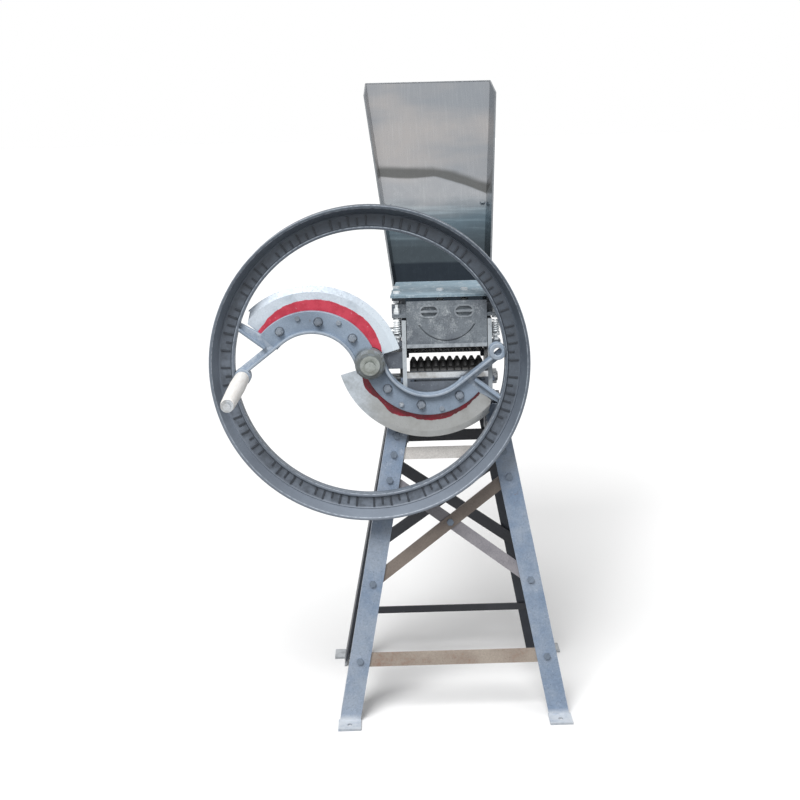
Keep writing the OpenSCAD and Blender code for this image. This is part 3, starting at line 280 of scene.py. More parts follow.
# Head castings: the sill, the bed, the top plate's bar and the shaft bracket, sand cast in grey
# iron and left with a thin grey wash, so the skin of the sand shows.
sand_skin = {"grain": 360.0, "relief": 0.8, "depth": 0.0010}
dress(iron("head_casting", (118, 125, 134), (92, 98, 107), (180, 186, 192), (112, 98, 90),
           wear=0.55, rusting=0.3, **sand_skin), "mouth_sill", "rear_bed", "cover_bar", "shaft_bracket")

# Cheeks: the same casting, bolted to the legs, with the front edge ground flat where the knives
# pass, so that it is bare and pale there.
cheek_front = -0.138
cheek_cast = iron("cheek_casting", (112, 119, 128), (86, 92, 101), (174, 180, 186), (112, 98, 90),
                  wear=0.5, rusting=0.3, **sand_skin)
nt, shader, here, painted = opened(cheek_cast)
at_front = falling(nt, axes(nt, here)[1], cheek_front + 0.0002, cheek_front + 0.0012)
ground_edge = rub(nt, here, painted, at_front, (196, 203, 208), 70.0, (0.3, 0.5, 0.6, 1.0))
fill(nt, shader, {"Base Color": ground_edge})
dress(cheek_cast, "cheek_left", "cheek_right")


# Ledger bar and the bright turned pieces: plain steel with fine grinding marks along it, a
# little tarnished where hands and sap have been.
def vectors(nt, kind, a, b):
    """One step of arithmetic on two vectors."""
    outputs = put(nt, "ShaderNodeVectorMath", {0: a, 1: b}, operation=kind).outputs
    return outputs["Value" if kind == "DOT_PRODUCT" else "Vector"]


# Ground metal: fine lines that are set by how many there are a metre along each axis, clouds of
# tarnish and small flecks
nt, take, give = new_group(
    "ground_metal", {"Vector": None, "Lines": None, "Clean": WHITE, "Tarnish": WHITE, "Base": 0.3},
    ["Color", "Roughness", "Height"])
here = take["Vector"]
lines = noise(nt, vectors(nt, "MULTIPLY", here, take["Lines"]), 1.0, 3.0)
stain = spread(nt, noise(nt, here, 26.0, 5.0, 0.65), 0.42, 0.72)
fleck = spread(nt, noise(nt, here, 210.0, 3.0), 0.6, 0.72, 0.0, 0.5)
tone = tint(nt, sums(nt, "MAXIMUM", stain, fleck), take["Clean"], take["Tarnish"])
rough = sums(nt, "ADD", take["Base"], spread(nt, lines, 0.3, 0.7, -0.08, 0.1))
fill(nt, give, {
    "Color": scaled(nt, tone, spread(nt, lines, 0.3, 0.7, 0.93, 1.05)),
    "Roughness": sums(nt, "ADD", rough, times(nt, stain, 0.16)),
    "Height": lines})


def steel(name, clean, tarnish, rough=0.3, lines=(40.0, 900.0, 900.0)):
    """Bare metal from its clean and tarnished chips, its polish and its grinding lines."""
    mat, nt, shader = fresh(name)
    inputs = {"Vector": place(nt), "Lines": lines, "Clean": srgb(*clean), "Tarnish": srgb(*tarnish),
              "Base": rough}
    finish = use_group(nt, "ground_metal", inputs)
    fill(nt, shader, {
        "Base Color": finish["Color"], "Roughness": finish["Roughness"], "Metallic": 0.9,
        "Normal": raised(nt, finish["Height"], 0.12, 0.0003)})
    return mat


bright = steel("ground_steel", (198, 202, 206), (150, 148, 144))
dress(bright, "ledger_bar", "upper_collar", "lower_collar", "rear_shaft_collar", "hub_key")
dress(steel("turned_steel", (176, 180, 184), (128, 124, 118), 0.36, (900.0, 60.0, 60.0)),
      "upper_roll_shaft", "lower_roll_shaft")

# Bushes and the thrust washer: turned from cast bronze, pressed into the castings or slipped
# over the shaft, and darkened by oil.
even_lines = (300.0, 300.0, 300.0)
dress(steel("oily_bronze", (176, 142, 92), (112, 86, 56), 0.4, even_lines),
      "lower_bushes", "shaft_bushes", "thrust_washer")

# Feed rolls, worm, gears and bearing blocks: dark iron castings, fixed on their shafts or
# sliding in the cheeks, black with grease and chaff dust.
dress(iron("roll_casting", (62, 62, 62), (44, 44, 46), (128, 126, 122), (96, 82, 66),
           wear=0.3, rusting=0.35, grain=380.0, relief=0.7, depth=0.0010),
      "upper_roll", "lower_roll", "upper_gear", "lower_gear", "worm", "upper_blocks")

# Floating jaw: the cast face plate with its two barred recesses and raised panel. Its raised lip
# and, less, the brows round the recesses are paler: partly rubbed by fodder and hands, partly a
# painted highlight on their raised edges.
face_low = 0.940
face_raised = -0.137
face_cast = iron("face_casting", (134, 142, 149), (94, 101, 110), (196, 202, 206), (112, 104, 100),
                 wear=0.85, rusting=0.35, grain=300.0, relief=1.0, depth=0.0014)
nt, shader, here, painted = opened(face_cast)
_, away, height = axes(nt, here)
# Painted highlight and wear: the raised lip and brows are tinted pale
lip = falling(nt, height, face_low + 0.0085, face_low + 0.0095, 0.85)
brows = spread(nt, height, face_low + 0.066, face_low + 0.070, 0.0, 0.3)
proud = falling(nt, away, face_raised + 0.0002, face_raised + 0.0008)
highlit_and_rubbed = times(nt, proud, sums(nt, "MAXIMUM", lip, brows))
face_highlit_and_rubbed = rub(nt, here, painted, highlit_and_rubbed, (186, 193, 199), 80.0, (0.3, 0.6, 0.4, 1.0))
fill(nt, shader, {"Base Color": face_highlit_and_rubbed})
dress(face_cast, "face_plate")

# Springs, their rods and hangers, and the small screws: zinc plated, nearly white, with a soft
# bloom. Each spring is one wire wound on a helix with straight ends, held between the stand and
# the jaw.
nt, take, give = new_group(
    "zinc_bloom", {"Vector": None, "Plate": WHITE, "Bloom": WHITE}, ["Color", "Roughness"])
cloud = noise(nt, take["Vector"], 120.0, 5.0, 0.65)
fill(nt, give, {
    "Color": tint(nt, spread(nt, cloud, 0.4, 0.7), take["Plate"], take["Bloom"]),
    "Roughness": spread(nt, cloud, 0.3, 0.7, 0.28, 0.5)})


def zinc(name, plate, bloom, metallic):
    """Zinc: a pale matt metal that has gone cloudy with bloom."""
    mat, nt, shader = fresh(name)
    inputs = {"Vector": place(nt), "Plate": srgb(*plate), "Bloom": srgb(*bloom)}
    finish = use_group(nt, "zinc_bloom", inputs)
    fill(nt, shader, {
        "Base Color": finish["Color"], "Roughness": finish["Roughness"], "Metallic": metallic})
    return mat


def skin(rings, loop=False):
    """Points, four-sided faces and end faces of a skin through rings of points. A loop joins its
    last ring to its first; otherwise each end ring is closed with one face."""
    n, m = rings.shape[:2]
    i, k = np.meshgrid(np.arange(n if loop else n - 1), np.arange(m), indexing="ij")
    next_i, next_k = (i + 1) % n, (k + 1) % m
    quads = np.stack([i * m + k, i * m + next_k, next_i * m + next_k, next_i * m + k], -1)
    ends = np.stack([np.arange(m)[::-1], (n - 1) * m + np.arange(m)])
    return rings.reshape(-1, 3), quads.reshape(-1, 4), ends[:0] if loop else ends


def piece(name, skins, body, mat, sharp):
    """One object from several skins, with faces outwards and edges sharp past an angle in degrees.
    It rides on a body, if one is named."""
    start = np.cumsum([0] + [len(p) for p, _, _ in skins])
    faces = sum([(q + k).tolist() + (e + k).tolist() for (_, q, e), k in zip(skins, start)], [])
    mesh = bpy.data.meshes.new(name)
    mesh.from_pydata(np.concatenate([p for p, _, _ in skins]), [], faces)
    bm = bmesh.new()
    bm.from_mesh(mesh)
    bmesh.ops.remove_doubles(bm, verts=bm.verts, dist=1e-7)
    bmesh.ops.recalc_face_normals(bm, faces=bm.faces)
    bm.to_mesh(mesh)
    bm.free()
    mesh.shade_smooth()
    mesh.set_sharp_from_angle(angle=math.radians(sharp))
    mesh.materials.append(mat)
    made = bpy.data.objects.new(name, mesh)
    bpy.context.scene.collection.objects.link(made)
    if body:
        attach(made, body)
    return made


def unit(rows):
    """Each row of an array as a direction of length one."""
    return rows / np.linalg.norm(rows, axis=1)[:, None]


def wire(path, radius, sides=10):
    """Tube of a round wire along a path: each ring lies square to the path's direction."""
    along = unit(np.gradient(path, axis=0))
    steep = np.abs(along[:, 2:]) > 0.9
    side = unit(np.cross(along, np.where(steep, [[1.0, 0.0, 0.0]], [[0.0, 0.0, 1.0]])))
    over = np.cross(side, along)
    a = np.linspace(0, 2 * np.pi, sides, endpoint=False)[None, :, None]
    return skin(path[:, None] + radius * (np.cos(a) * side[:, None] + np.sin(a) * over[:, None]))


spring_x = 0.119
spring_y = -0.122
coil_low = 0.968
coil_high = 1.008
coil_r = 0.0072
coil_wire = 0.0019
coil_turns = 6
steps_a_turn = 28
turn = np.linspace(0, 2 * np.pi * coil_turns, coil_turns * steps_a_turn + 1)
climb = np.linspace(coil_low + 2 * coil_wire, coil_high - 2 * coil_wire, len(turn))
helix = np.stack([coil_r * np.cos(turn), coil_r * np.sin(turn), climb], -1)
stub = np.array([[0.0, 0.0, coil_wire], [0.0, 0.0, 2 * coil_wire]])
coil = np.concatenate([helix[:1] - stub[::-1], helix, helix[-1:] + stub])
plated = zinc("zinc_plate", (246, 250, 252), (216, 222, 226), 0.25)
dress(plated, "spring_rods", "spring_hangers", "cover_bolts", "bracket_screws")
for hand, x in (("left", -spring_x), ("right", spring_x)):
    wound = wire(coil + [[x, spring_y, 0]], coil_wire)
    spring = piece("spring_wire_" + hand, [wound], None, plated, 60.0)
    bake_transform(spring)
    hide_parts("spring_" + hand)

# Top plate: a flat of sheet iron bolted over the throat, in pale blue-grey paint that is
# chipped to white specks.
dress(iron("top_plate_paint", (150, 172, 185), (128, 150, 164), (234, 241, 245), (118, 120, 120),
           wear=0.8, rusting=0.25, grain=300.0), "top_plate")


# Tray: bright galvanised sheet, folded up at both sides and bolted to the bed's lip and the
# stays. The floor carries painted reflections: a pale zone, a dark band across it, and blue-grey
# and darker grey zones below it. Painted shade takes it near black at the throat.
def streaky(nt, vector, scales, detail, rough=0.6):
    """Noise drawn out along an axis, from how many features there are a metre along each."""
    drawn = put(nt, "ShaderNodeMapping", {"Vector": vector, "Scale": scales}).outputs[0]
    return noise(nt, drawn, 1.0, detail, rough)


def between(nt, value, rise, fall):
    """One inside a stretch of a value and nothing outside it: up over rise, down over fall."""
    return times(nt, spread(nt, value, *rise), falling(nt, value, *fall))


fold_y = 0.012
fold_z = 0.906
slope = math.radians(42)
tray_l = 1.020
tray_front = 0.095
tray_rear = 0.192
wall_h = 0.070
wall_cut = 0.130
lean = math.radians(13)
up_tray = (0.0, math.cos(slope), math.sin(slope))
off_tray = (0.0, -math.sin(slope), math.cos(slope))

sheet, nt, shader = fresh("galvanised_sheet")
here = place(nt)
from_fold = vectors(nt, "SUBTRACT", here, (0.0, fold_y, fold_z))
up_slope = vectors(nt, "DOT_PRODUCT", from_fold, up_tray)
above = vectors(nt, "DOT_PRODUCT", from_fold, off_tray)
across_tray = axes(nt, here)[0]

# The inner side: above the floor's sheet and inside the leaning walls' sheet
half_width = sums(nt, "ADD", tray_front, times(nt, up_slope, (tray_rear - tray_front) / tray_l))
beyond = sums(nt, "SUBTRACT", sums(nt, "ABSOLUTE", across_tray, 0.0), half_width)
on_wall = spread(nt, beyond, -0.002, 0.001)
inward = weighed(nt, (above, math.sin(lean)), (beyond, -math.cos(lean)))
inside = times(nt, spread(nt, above, 0.0004, 0.0012), spread(nt, inward, 0.0004, 0.0012))

# The zinc's crystals, wiped clouds, streaks across and scratches up the slope, and the height of
# the painted reflection band, which wanders and falls away to the right
crystal = put(nt, "ShaderNodeTexVoronoi", {"Vector": here, "Scale": 75.0, "Randomness": 1.0}).outputs["Color"]
spangle = put(nt, "ShaderNodeSeparateColor", {"Color": crystal}).outputs[0]
wiped = streaky(nt, here, (3.0, 6.0, 6.0), 3.0, 0.5)
streak = streaky(nt, here, (3.0, 42.0, 42.0), 3.0)
scratch = streaky(nt, here, (260.0, 9.0, 9.0), 3.0)
reach = sums(nt, "ADD", up_slope, times(nt, sums(nt, "SUBTRACT", wiped, 0.5), 0.10))
slant = weighed(nt, (across_tray, 0.10), (sums(nt, "MAXIMUM", across_tray, 0.0), 0.38))
reflection_band_level = sums(nt, "ADD", reach, slant)

# Clean zinc first, then the painted reflections and the painted shade at the throat on the inner side
clean = tint(nt, spread(nt, wiped, 0.3, 0.7), srgb(146, 151, 157), srgb(172, 169, 168))
clean = tint(nt, spread(nt, spangle, 0.0, 1.0, 0.0, 0.16), clean, srgb(134, 138, 142))
clean = tint(nt, spread(nt, scratch, 0.5, 0.75, 0.0, 0.08), clean, srgb(196, 198, 200))
clean = tint(nt, times(nt, on_wall, 0.7), clean, srgb(132, 136, 140))
# Painted reflection: the floor below the band is tinted paler
with_painted_reflections = tint(nt, falling(nt, reflection_band_level, 0.590, 0.612, 0.4), clean, srgb(180, 181, 183))
# Painted reflection: a dark band across the floor
painted_reflection_band = between(nt, reflection_band_level, (0.598, 0.606), (0.632, 0.662))
with_painted_reflections = tint(nt, times(nt, painted_reflection_band, 0.9), with_painted_reflections, srgb(94, 95, 94))
# Painted reflection: blue-grey lower down the floor
painted_blue_reflection = tint(nt, spread(nt, streak, 0.42, 0.68), srgb(92, 108, 118), srgb(136, 154, 164))
with_painted_reflections = tint(nt, falling(nt, reach, 0.44, 0.53), with_painted_reflections, painted_blue_reflection)
# Painted reflection: darker grey further down
with_painted_reflections = tint(nt, falling(nt, reach, 0.33, 0.45), with_painted_reflections, srgb(64, 73, 79))
# Painted shade: near black at the throat, under the top plate
throat = sums(nt, "ADD", up_slope, times(nt, streak, 0.02))
with_painted_reflections = tint(nt, falling(nt, throat, 0.296, 0.304), with_painted_reflections, srgb(38, 46, 54))
polish = spread(nt, spangle, 0.0, 1.0, 0.20, 0.26)
fill(nt, shader, {
    "Base Color": tint(nt, inside, clean, with_painted_reflections),
    "Roughness": sums(nt, "ADD", polish, spread(nt, scratch, 0.4, 0.8, 0.0, 0.05)),
    "Metallic": 0.85,
    "Normal": raised(nt, noise(nt, here, 6.0, 2.0, 0.5), 0.4, 0.004)})
dress(sheet, "tray_floor", "tray_walls", "tray_bolts")


# The wired edge: the sheet rolled over a thin wire along the walls' tops, down the cut rear
# corners and across the far end. Its zinc cracked in the rolling and has gone dull.
def on_tray(p):
    """Points given across the tray, up its slope and square to its floor."""
    return np.array([0.0, fold_y, fold_z]) + p @ np.array([(1.0, 0.0, 0.0), up_tray, off_tray])


flare = math.atan((tray_rear - tray_front) / tray_l)
edge_l = tray_l / math.cos(flare)
edge_r = 0.0024
edge_dir = np.array([math.sin(flare), math.cos(flare), 0.0])
wall_dir = np.array([math.sin(lean) * math.cos(flare), -math.sin(lean) * math.sin(flare), math.cos(lean)])
wall_start = wall_h * math.cos(lean) * math.tan(slope)
edge_top = wall_h - 0.0008
end_gap = 0.002
corners = np.array([
    [wall_start + end_gap, edge_top], [edge_l - wall_cut, edge_top], [edge_l - end_gap, 0.001]])
right = np.array([tray_front - 0.0005, 0.0, 0.0]) + corners[:, :1] * edge_dir + corners[:, 1:] * wall_dir
bends = np.concatenate([right, right[::-1] * [-1, 1, 1]])
steps = np.linspace(0, len(bends) - 1, 241)
last = np.minimum(steps.astype(int), len(bends) - 2)
edge_line = bends[last] + (bends[last + 1] - bends[last]) * (steps - last)[:, None]
dull_edge = zinc("dull_zinc_edge", (126, 130, 134), (102, 106, 110), 0.3)
piece("tray_wired_edge", [wire(on_tray(edge_line), edge_r, 12)], "stand", dull_edge, 60.0)

# Main shaft and hub washer: turned steel, keyed in the wheel and running in the bushes, under a
# film of grey-green grease.
dress(steel("greasy_steel", (158, 163, 160), (112, 114, 106), 0.34, even_lines), "main_shaft", "hub_washer")

# Flywheel: one iron casting with a flanged rim, two S arms with a rib along the hollow edge, a
# forked end and two handle bosses. A row of plain cast bars runs round the rim's flat. The rim
# is painted darker towards the top and paler towards the bottom left, as painted shade and light.
shaft_x = -0.186
shaft_z = 0.910
wheel_y = -0.138


def on_wheel(u, v, w):
    """World points from a place on the wheel: right of the shaft, above it, towards the front."""
    u, v, w = np.broadcast_arrays(u, v, w)
    return np.stack([shaft_x + u, wheel_y - w, shaft_z + v], -1)


def polar(r, degrees):
    """A place on the wheel's face by its distance and angle from the shaft."""
    return r * np.array([math.cos(math.radians(degrees)), math.sin(math.radians(degrees))])


def rounded(outline, radius, steps=5):
    """A closed outline with each corner replaced by a curve that starts the radius before it."""
    p = np.asarray(outline, float)
    before, after = np.roll(p, 1, 0) - p, np.roll(p, -1, 0) - p
    back = np.minimum(radius, 0.45 * np.linalg.norm(before, axis=1))[:, None]
    on = np.minimum(radius, 0.45 * np.linalg.norm(after, axis=1))[:, None]
    b, a = (p + back * unit(before))[:, None], (p + on * unit(after))[:, None]
    t = np.linspace(0, 1, steps)[None, :, None]
    return ((1 - t) ** 2 * b + 2 * t * (1 - t) * p[:, None] + t ** 2 * a).reshape(-1, 2)


def ridge(low_half, high_half, low, high, radius, steps=5):
    """A bar's section of across and depth: so wide to each side at its low and high level."""
    return rounded([(-low_half, low), (low_half, low), (high_half, high), (-high_half, high)], radius, steps)


def turned(profile, centre, count):
    """A closed profile of radius and depth carried round a centre on the wheel."""
    a = np.linspace(0, 2 * np.pi, count, endpoint=False)[:, None]
    r, w = profile[None, :, 0], profile[None, :, 1]
    return skin(on_wheel(centre[0] + r * np.cos(a), centre[1] + r * np.sin(a), w), loop=True)


def carried(section, path):
    """A closed section of across and depth carried along a path on the wheel's face."""
    along = unit(np.gradient(path, axis=0))
    u = path[:, :1] + section[None, :, 0] * along[:, 1:]
    v = path[:, 1:] - section[None, :, 0] * along[:, :1]
    return skin(on_wheel(u, v, section[None, :, 1]))


def slab(outline, low, high, edge, steps=4):
    """A flat plate of any outline whose front edges are rounded over."""
    p = np.asarray(outline, float)
    before, after = unit(p - np.roll(p, 1, 0)), unit(np.roll(p, -1, 0) - p)
    inward = np.stack([-(before + after)[:, 1], (before + after)[:, 0]], -1)
    inward /= 1 + np.sum(before * after, 1)[:, None]
    a = np.linspace(0, np.pi / 2, steps)
    inset = np.concatenate([[0.0], edge * (1 - np.cos(a))])
    level = np.concatenate([[low], high - edge + edge * np.sin(a)])
    q = p[None] + inset[:, None, None] * inward[None]
    return skin(on_wheel(q[..., 0], q[..., 1], level[:, None]))


def arc(centre, r, a0, a1, count):
    """Points along an arc on the wheel, angles in degrees."""
    a = np.radians(np.linspace(a0, a1, count))
    return centre + r * np.stack([np.cos(a), np.sin(a)], -1)


def half_turn(part):
    """The same skin on the other side of the shaft."""
    return part[0] * [-1, 1, -1] + [2 * shaft_x, 0, 2 * shaft_z], part[1], part[2]


# Levels are depths towards the front; the rim's flat lies between its inner and its outer lip,
# with a bead along the foot of the outer one
shaft = np.zeros(2)
rim_in, rim_r = 0.322, 0.380
rim_back, rim_flat, inner_lip, outer_lip = 0.005, 0.024, 0.031, 0.054
flat_in, flat_out = 0.331, 0.356
bead_r, bead_top = 0.3585, 0.0268
rim_profile = rounded([
    (rim_in, rim_back), (rim_r, rim_back), (rim_r, outer_lip), (rim_r - 0.0065, outer_lip),
    (2 * bead_r - flat_out, rim_flat), (bead_r, bead_top), (flat_out, rim_flat),
    (flat_in, rim_flat), (flat_in - 0.003, inner_lip), (rim_in, inner_lip)], 0.0025)
hub_bore, hub_r, washer_r = 0.0126, 0.036, 0.032
hub_back, hub_step, hub_front = 0.004, 0.037, 0.044
hub_profile = rounded([
    (hub_bore, hub_back), (hub_r, hub_back), (hub_r, hub_step - 0.001), (washer_r, hub_step),
    (washer_r, hub_front), (hub_bore, hub_front)], 0.0026)
boss_bore, boss_r, boss_back, boss_front = 0.00955, 0.020, 0.0055, 0.0356
boss_profile = rounded([
    (boss_bore, boss_back), (boss_r, boss_back), (boss_r, boss_front), (boss_bore, boss_front)], 0.0022)

# An arm: a curved web, the plate that spreads to the rim, the prong to the boss, the rib along
# the web and the prong, and a second rib on the plate
web_back, web_front, rib_top = 0.0066, 0.0206, 0.0336
web_mid, web_half = 0.133, 0.027
web_in = web_mid - web_half
fork_a = -50
arm_c = polar(0.142, 12)
boss_c = polar(0.305, 4.3)
fork = arm_c + polar(web_in, fork_a)
prong_l = np.linalg.norm(boss_c - fork)
prong = (boss_c - fork) / prong_l
across = np.array([prong[1], -prong[0]])
apex = fork + 0.042 * prong + 0.019 * across
foot = polar(rim_in + 0.006, -16)
strut = foot - apex
strut_side = np.array([strut[1], -strut[0]]) / np.linalg.norm(strut)
run = np.linspace(0, 1, 24)[:, None]
web_section = ridge(web_half, web_half, web_back, web_front, 0.0022)
prong_section = ridge(0.0095, 0.0095, web_back + 0.001, web_front - 0.001, 0.0022)
rib_section = ridge(0.0043, 0.0037, web_front - 0.006, rib_top, 0.0030)
strut_section = ridge(0.0043, 0.0037, web_front - 0.006, rib_top - 0.003, 0.0030)
plate_outline = [arm_c + polar(web_in + 0.006, fork_a - 2), arm_c + polar(web_mid + 0.025, fork_a),
                 arm_c + polar(web_mid + 0.026, fork_a + 8), polar(rim_in + 0.012, -19.5), foot, apex]
prong_path = fork - 0.004 * prong + 0.0100 * across + run * (prong_l + 0.026) * prong
rib_on_prong = fork + 0.0049 * across + 0.004 * prong + run * (prong_l - 0.012) * prong
rib_path = np.concatenate([arc(arm_c, web_in + 0.0047, 184.5, 309, 70), rib_on_prong])
arm_skins = [
    carried(web_section, arc(arm_c, web_mid, 184, 319.5, 80)),
    slab(plate_outline, web_back + 0.0005, web_front - 0.0005, 0.002),
    carried(prong_section, prong_path),
    carried(rib_section, rib_path),
    carried(strut_section, apex + 0.0048 * strut_side + run * strut),
    turned(boss_profile, boss_c, 48)]

# Bars across the rim's flat, of mixed lengths, with gaps in the row
bar_count, bar_start, bar_ends = 104, 0.3330, (0.3545, 0.3455, 0.3545, 0.3500)
bar_section = ridge(0.0028, 0.0020, rim_flat - 0.0008, rim_flat + 0.0024, 0.0010, 3)
bars = []
for k in range(bar_count):
    if k % 13 not in (5, 12):
        reach_out = np.linspace(bar_start, bar_ends[k % 4], 3)[:, None]
        bars.append(carried(bar_section, reach_out * polar(1.0, 360 * k / bar_count)))

# The paint; the rim painted darker towards the top and paler towards the bottom left, as painted
# shade and light; the flat darkened in patches, dark bars, the bore's face painted dark as
# painted shade, pale ribs and edges, and grease round the hub
wheel_cast = iron("wheel_casting", (156, 172, 190), (130, 145, 163), (196, 206, 216), (114, 106, 102),
                  wear=0.5, rusting=0.2, **sand_skin)
nt, shader, here, tone = opened(wheel_cast)
from_shaft = vectors(nt, "SUBTRACT", here, (shaft_x, wheel_y, shaft_z))
outwards = vectors(nt, "MULTIPLY", from_shaft, (1.0, 0.0, 1.0))
radius = put(nt, "ShaderNodeVectorMath", {0: outwards}, operation="LENGTH").outputs["Value"]
depth = times(nt, axes(nt, from_shaft)[1], -1.0)
on_rim = spread(nt, radius, rim_in - 0.004, rim_in + 0.002)
# Painted shade and light: the rim is tinted dark at the top and pale at the bottom left
how_high = vectors(nt, "DOT_PRODUCT", from_shaft, (0.4, 0.0, 1.0))
painted_rim_shade = tint(nt, spread(nt, how_high, -0.42, 0.40), srgb(122, 128, 138), srgb(38, 42, 48))
tone = tint(nt, times(nt, on_rim, 0.75), tone, painted_rim_shade)
# Painted shade: the rim's inner face, which faces up at the bottom, is darkened
bore_painted_shade = times(nt, on_rim, falling(nt, radius, rim_in + 0.0004, rim_in + 0.0024, 0.7))
tone = tint(nt, bore_painted_shade, tone, srgb(64, 70, 78))
on_flat = between(nt, radius, (flat_in - 0.0025, flat_in + 0.0005), (flat_out - 0.002, flat_out + 0.002))
tone = rub(nt, here, tone, on_flat, (70, 76, 84), 60.0, (0.3, 0.7, 0.15, 0.75))
on_bars = times(nt, on_flat, spread(nt, depth, rim_flat + 0.0003, rim_flat + 0.0010, 0.0, 0.9))
tone = tint(nt, on_bars, tone, srgb(46, 51, 58))
on_rib = times(nt, spread(nt, depth, rib_top - 0.0018, rib_top - 0.0002), falling(nt, radius, 0.305, 0.318))
tone = rub(nt, here, tone, on_rib, (172, 182, 194), 110.0, (0.3, 0.6, 0.25, 0.8))
# Worn edges: the strip of each front edge's rounding, found by its depth on the wheel
worn = 0.0
for level, near, far in ((web_front, 0.030, 0.330), (inner_lip, 0.318, 0.333),
                         (boss_front, 0.280, 0.328), (outer_lip, 0.368, 0.382)):
    strip = between(nt, depth, (level - 0.0024, level - 0.0015), (level - 0.0007, level - 0.0002))
    ring = between(nt, radius, (near, near + 0.002), (far - 0.002, far))
    worn = sums(nt, "MAXIMUM", worn, times(nt, strip, ring))
tone = rub(nt, here, tone, worn, (184, 194, 205), 90.0, (0.35, 0.6, 0.15, 0.9))
near_hub = falling(nt, radius, hub_r - 0.002, hub_r + 0.008)
tone = rub(nt, here, tone, near_hub, (104, 108, 106), 70.0, (0.3, 0.6, 0.45, 0.95))
fill(nt, shader, {"Base Color": tone})
wheel_skins = [turned(rim_profile, shaft, 300), turned(hub_profile, shaft, 96)]
wheel_skins += arm_skins + [half_turn(s) for s in arm_skins] + bars
wheel = piece("wheel_casting", wheel_skins, "wheel", wheel_cast, 35.0)
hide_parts("flywheel")

# Seats of the knife bolts: low rings cast on the arms round the bolt holes, with paint darker
# than the arms'.
seat_bore, seat_foot, seat_top = 0.004, 0.013, 0.0112
seat_low, seat_high = web_front - 0.004, web_front + 0.002
seat_profile = rounded([
    (seat_bore, seat_low), (seat_foot, seat_low), (seat_top, seat_high), (seat_bore, seat_high)], 0.0012)
bolt_ring, bolt_angles = 0.135, (223, 262, 303)
seats = [turned(seat_profile, arm_c + polar(bolt_ring, a), 32) for a in bolt_angles]
# The rings' paint is darker than the arms'
darker_seat_paint = iron("darker_seat_paint", (104, 114, 127), (82, 91, 102), (156, 165, 174), (96, 88, 82),
                  wear=0.4, rusting=0.3, grain=420.0, relief=0.7, depth=0.0010)
piece("bolt_seats", seats + [half_turn(s) for s in seats], "wheel", darker_seat_paint, 35.0)

# Knives: curved blades of ground steel bolted behind the arms, with a band of red paint on the
# front next to the arm that is chipped along its outer edge. The left blade's steel and red are
# painted lighter and the right blade's darker, its steel darker still towards its right end:
# painted light and shade on one steel and one paint.
knife_front = -0.1440
nt, take, give = new_group(
    "red_band",
    {"Vector": None, "Centre": None, "Middle": None, "Steel": WHITE, "Right End": WHITE, "Red": WHITE,
     "Deep Red": WHITE, "Ends": 0.17, "Crown": 0.18, "Lobes": 0.01},
    ["Color", "Metal"])
here = take["Vector"]
sideways, away, _ = axes(nt, here)
spoke = vectors(nt, "MULTIPLY", vectors(nt, "SUBTRACT", here, take["Centre"]), (1.0, 0.0, 1.0))
spoke_l = put(nt, "ShaderNodeVectorMath", {0: spoke}, operation="LENGTH").outputs["Value"]
spoke_dir = put(nt, "ShaderNodeVectorMath", {0: spoke}, operation="NORMALIZE").outputs[0]
towards = vectors(nt, "DOT_PRODUCT", spoke_dir, take["Middle"])
lobe = times(nt, sums(nt, "SUBTRACT", noise(nt, here, 16.0, 1.0, 0.5), 0.5), take["Lobes"])
band_edge = sums(nt, "ADD", spread(nt, towards, 0.35, 0.95, take["Ends"], take["Crown"]), lobe)
chips = times(nt, sums(nt, "SUBTRACT", noise(nt, here, 120.0, 3.0), 0.5), 0.005)
past_edge = sums(nt, "ADD", sums(nt, "SUBTRACT", spoke_l, band_edge), chips)
coated = times(nt, falling(nt, past_edge, -0.0006, 0.0006),
               spread(nt, noise(nt, here, 160.0, 4.0, 0.7), 0.26, 0.34),
               falling(nt, away, knife_front, knife_front + 0.0008))
rightwards = sums(nt, "ADD", sideways, times(nt, noise(nt, here, 22.0), 0.06))
# The steel goes over to the right-end tone towards the right; on the right blade that is painted shade
plain = tint(nt, spread(nt, rightwards, -0.20, -0.11, 0.0, 0.75), take["Steel"], take["Right End"])
crimson = tint(nt, spread(nt, noise(nt, here, 40.0), 0.35, 0.65), take["Red"], take["Deep Red"])
fill(nt, give, {"Color": tint(nt, coated, plain, crimson), "Metal": spread(nt, coated, 0.0, 1.0, 0.9, 0.0)})


def blade(name, centre, middle, clean, tarnish, dull, reds, band, lobes):
    """Ground steel with a red band. The band's edge lies at a distance from the blade's own centre
    of curvature that is greatest in the middle of its sweep and wanders by the lobes."""
    mat = steel(name, clean, tarnish, 0.34, (260.0, 260.0, 260.0))
    nt, shader, here, ground = opened(mat)
    facing = polar(1.0, middle)
    inputs = {"Vector": here, "Centre": (shaft_x + centre[0], 0.0, shaft_z + centre[1]),
              "Middle": (facing[0], 0.0, facing[1]), "Steel": ground, "Right End": srgb(*dull),
              "Red": srgb(*reds[0]), "Deep Red": srgb(*reds[1]),
              "Ends": band[0], "Crown": band[1], "Lobes": lobes}
    finish = use_group(nt, "red_band", inputs)
    fill(nt, shader, {"Base Color": finish["Color"], "Metallic": finish["Metal"]})
    return mat


# Painted light and shade: the left blade gets lighter steel and red, the right blade darker
dress(blade("right_blade", arm_c, 251.5, (190, 198, 206), (158, 164, 168), (150, 149, 145),
            ((150, 24, 48), (104, 20, 36)), band=(0.166, 0.175), lobes=0.030), "knife_right")
dress(blade("left_blade", -arm_c, 71.5, (200, 209, 219), (180, 190, 200), (206, 216, 224),
            ((210, 70, 90), (188, 52, 72)), band=(0.170, 0.186), lobes=0.008), "knife_left")
dress(iron("knife_bolt_paint", (150, 160, 172), (122, 131, 143), (214, 219, 223), (112, 98, 90),
           wear=0.8, rusting=0.2, grain=320.0), "knife_bolts", "set_screws")

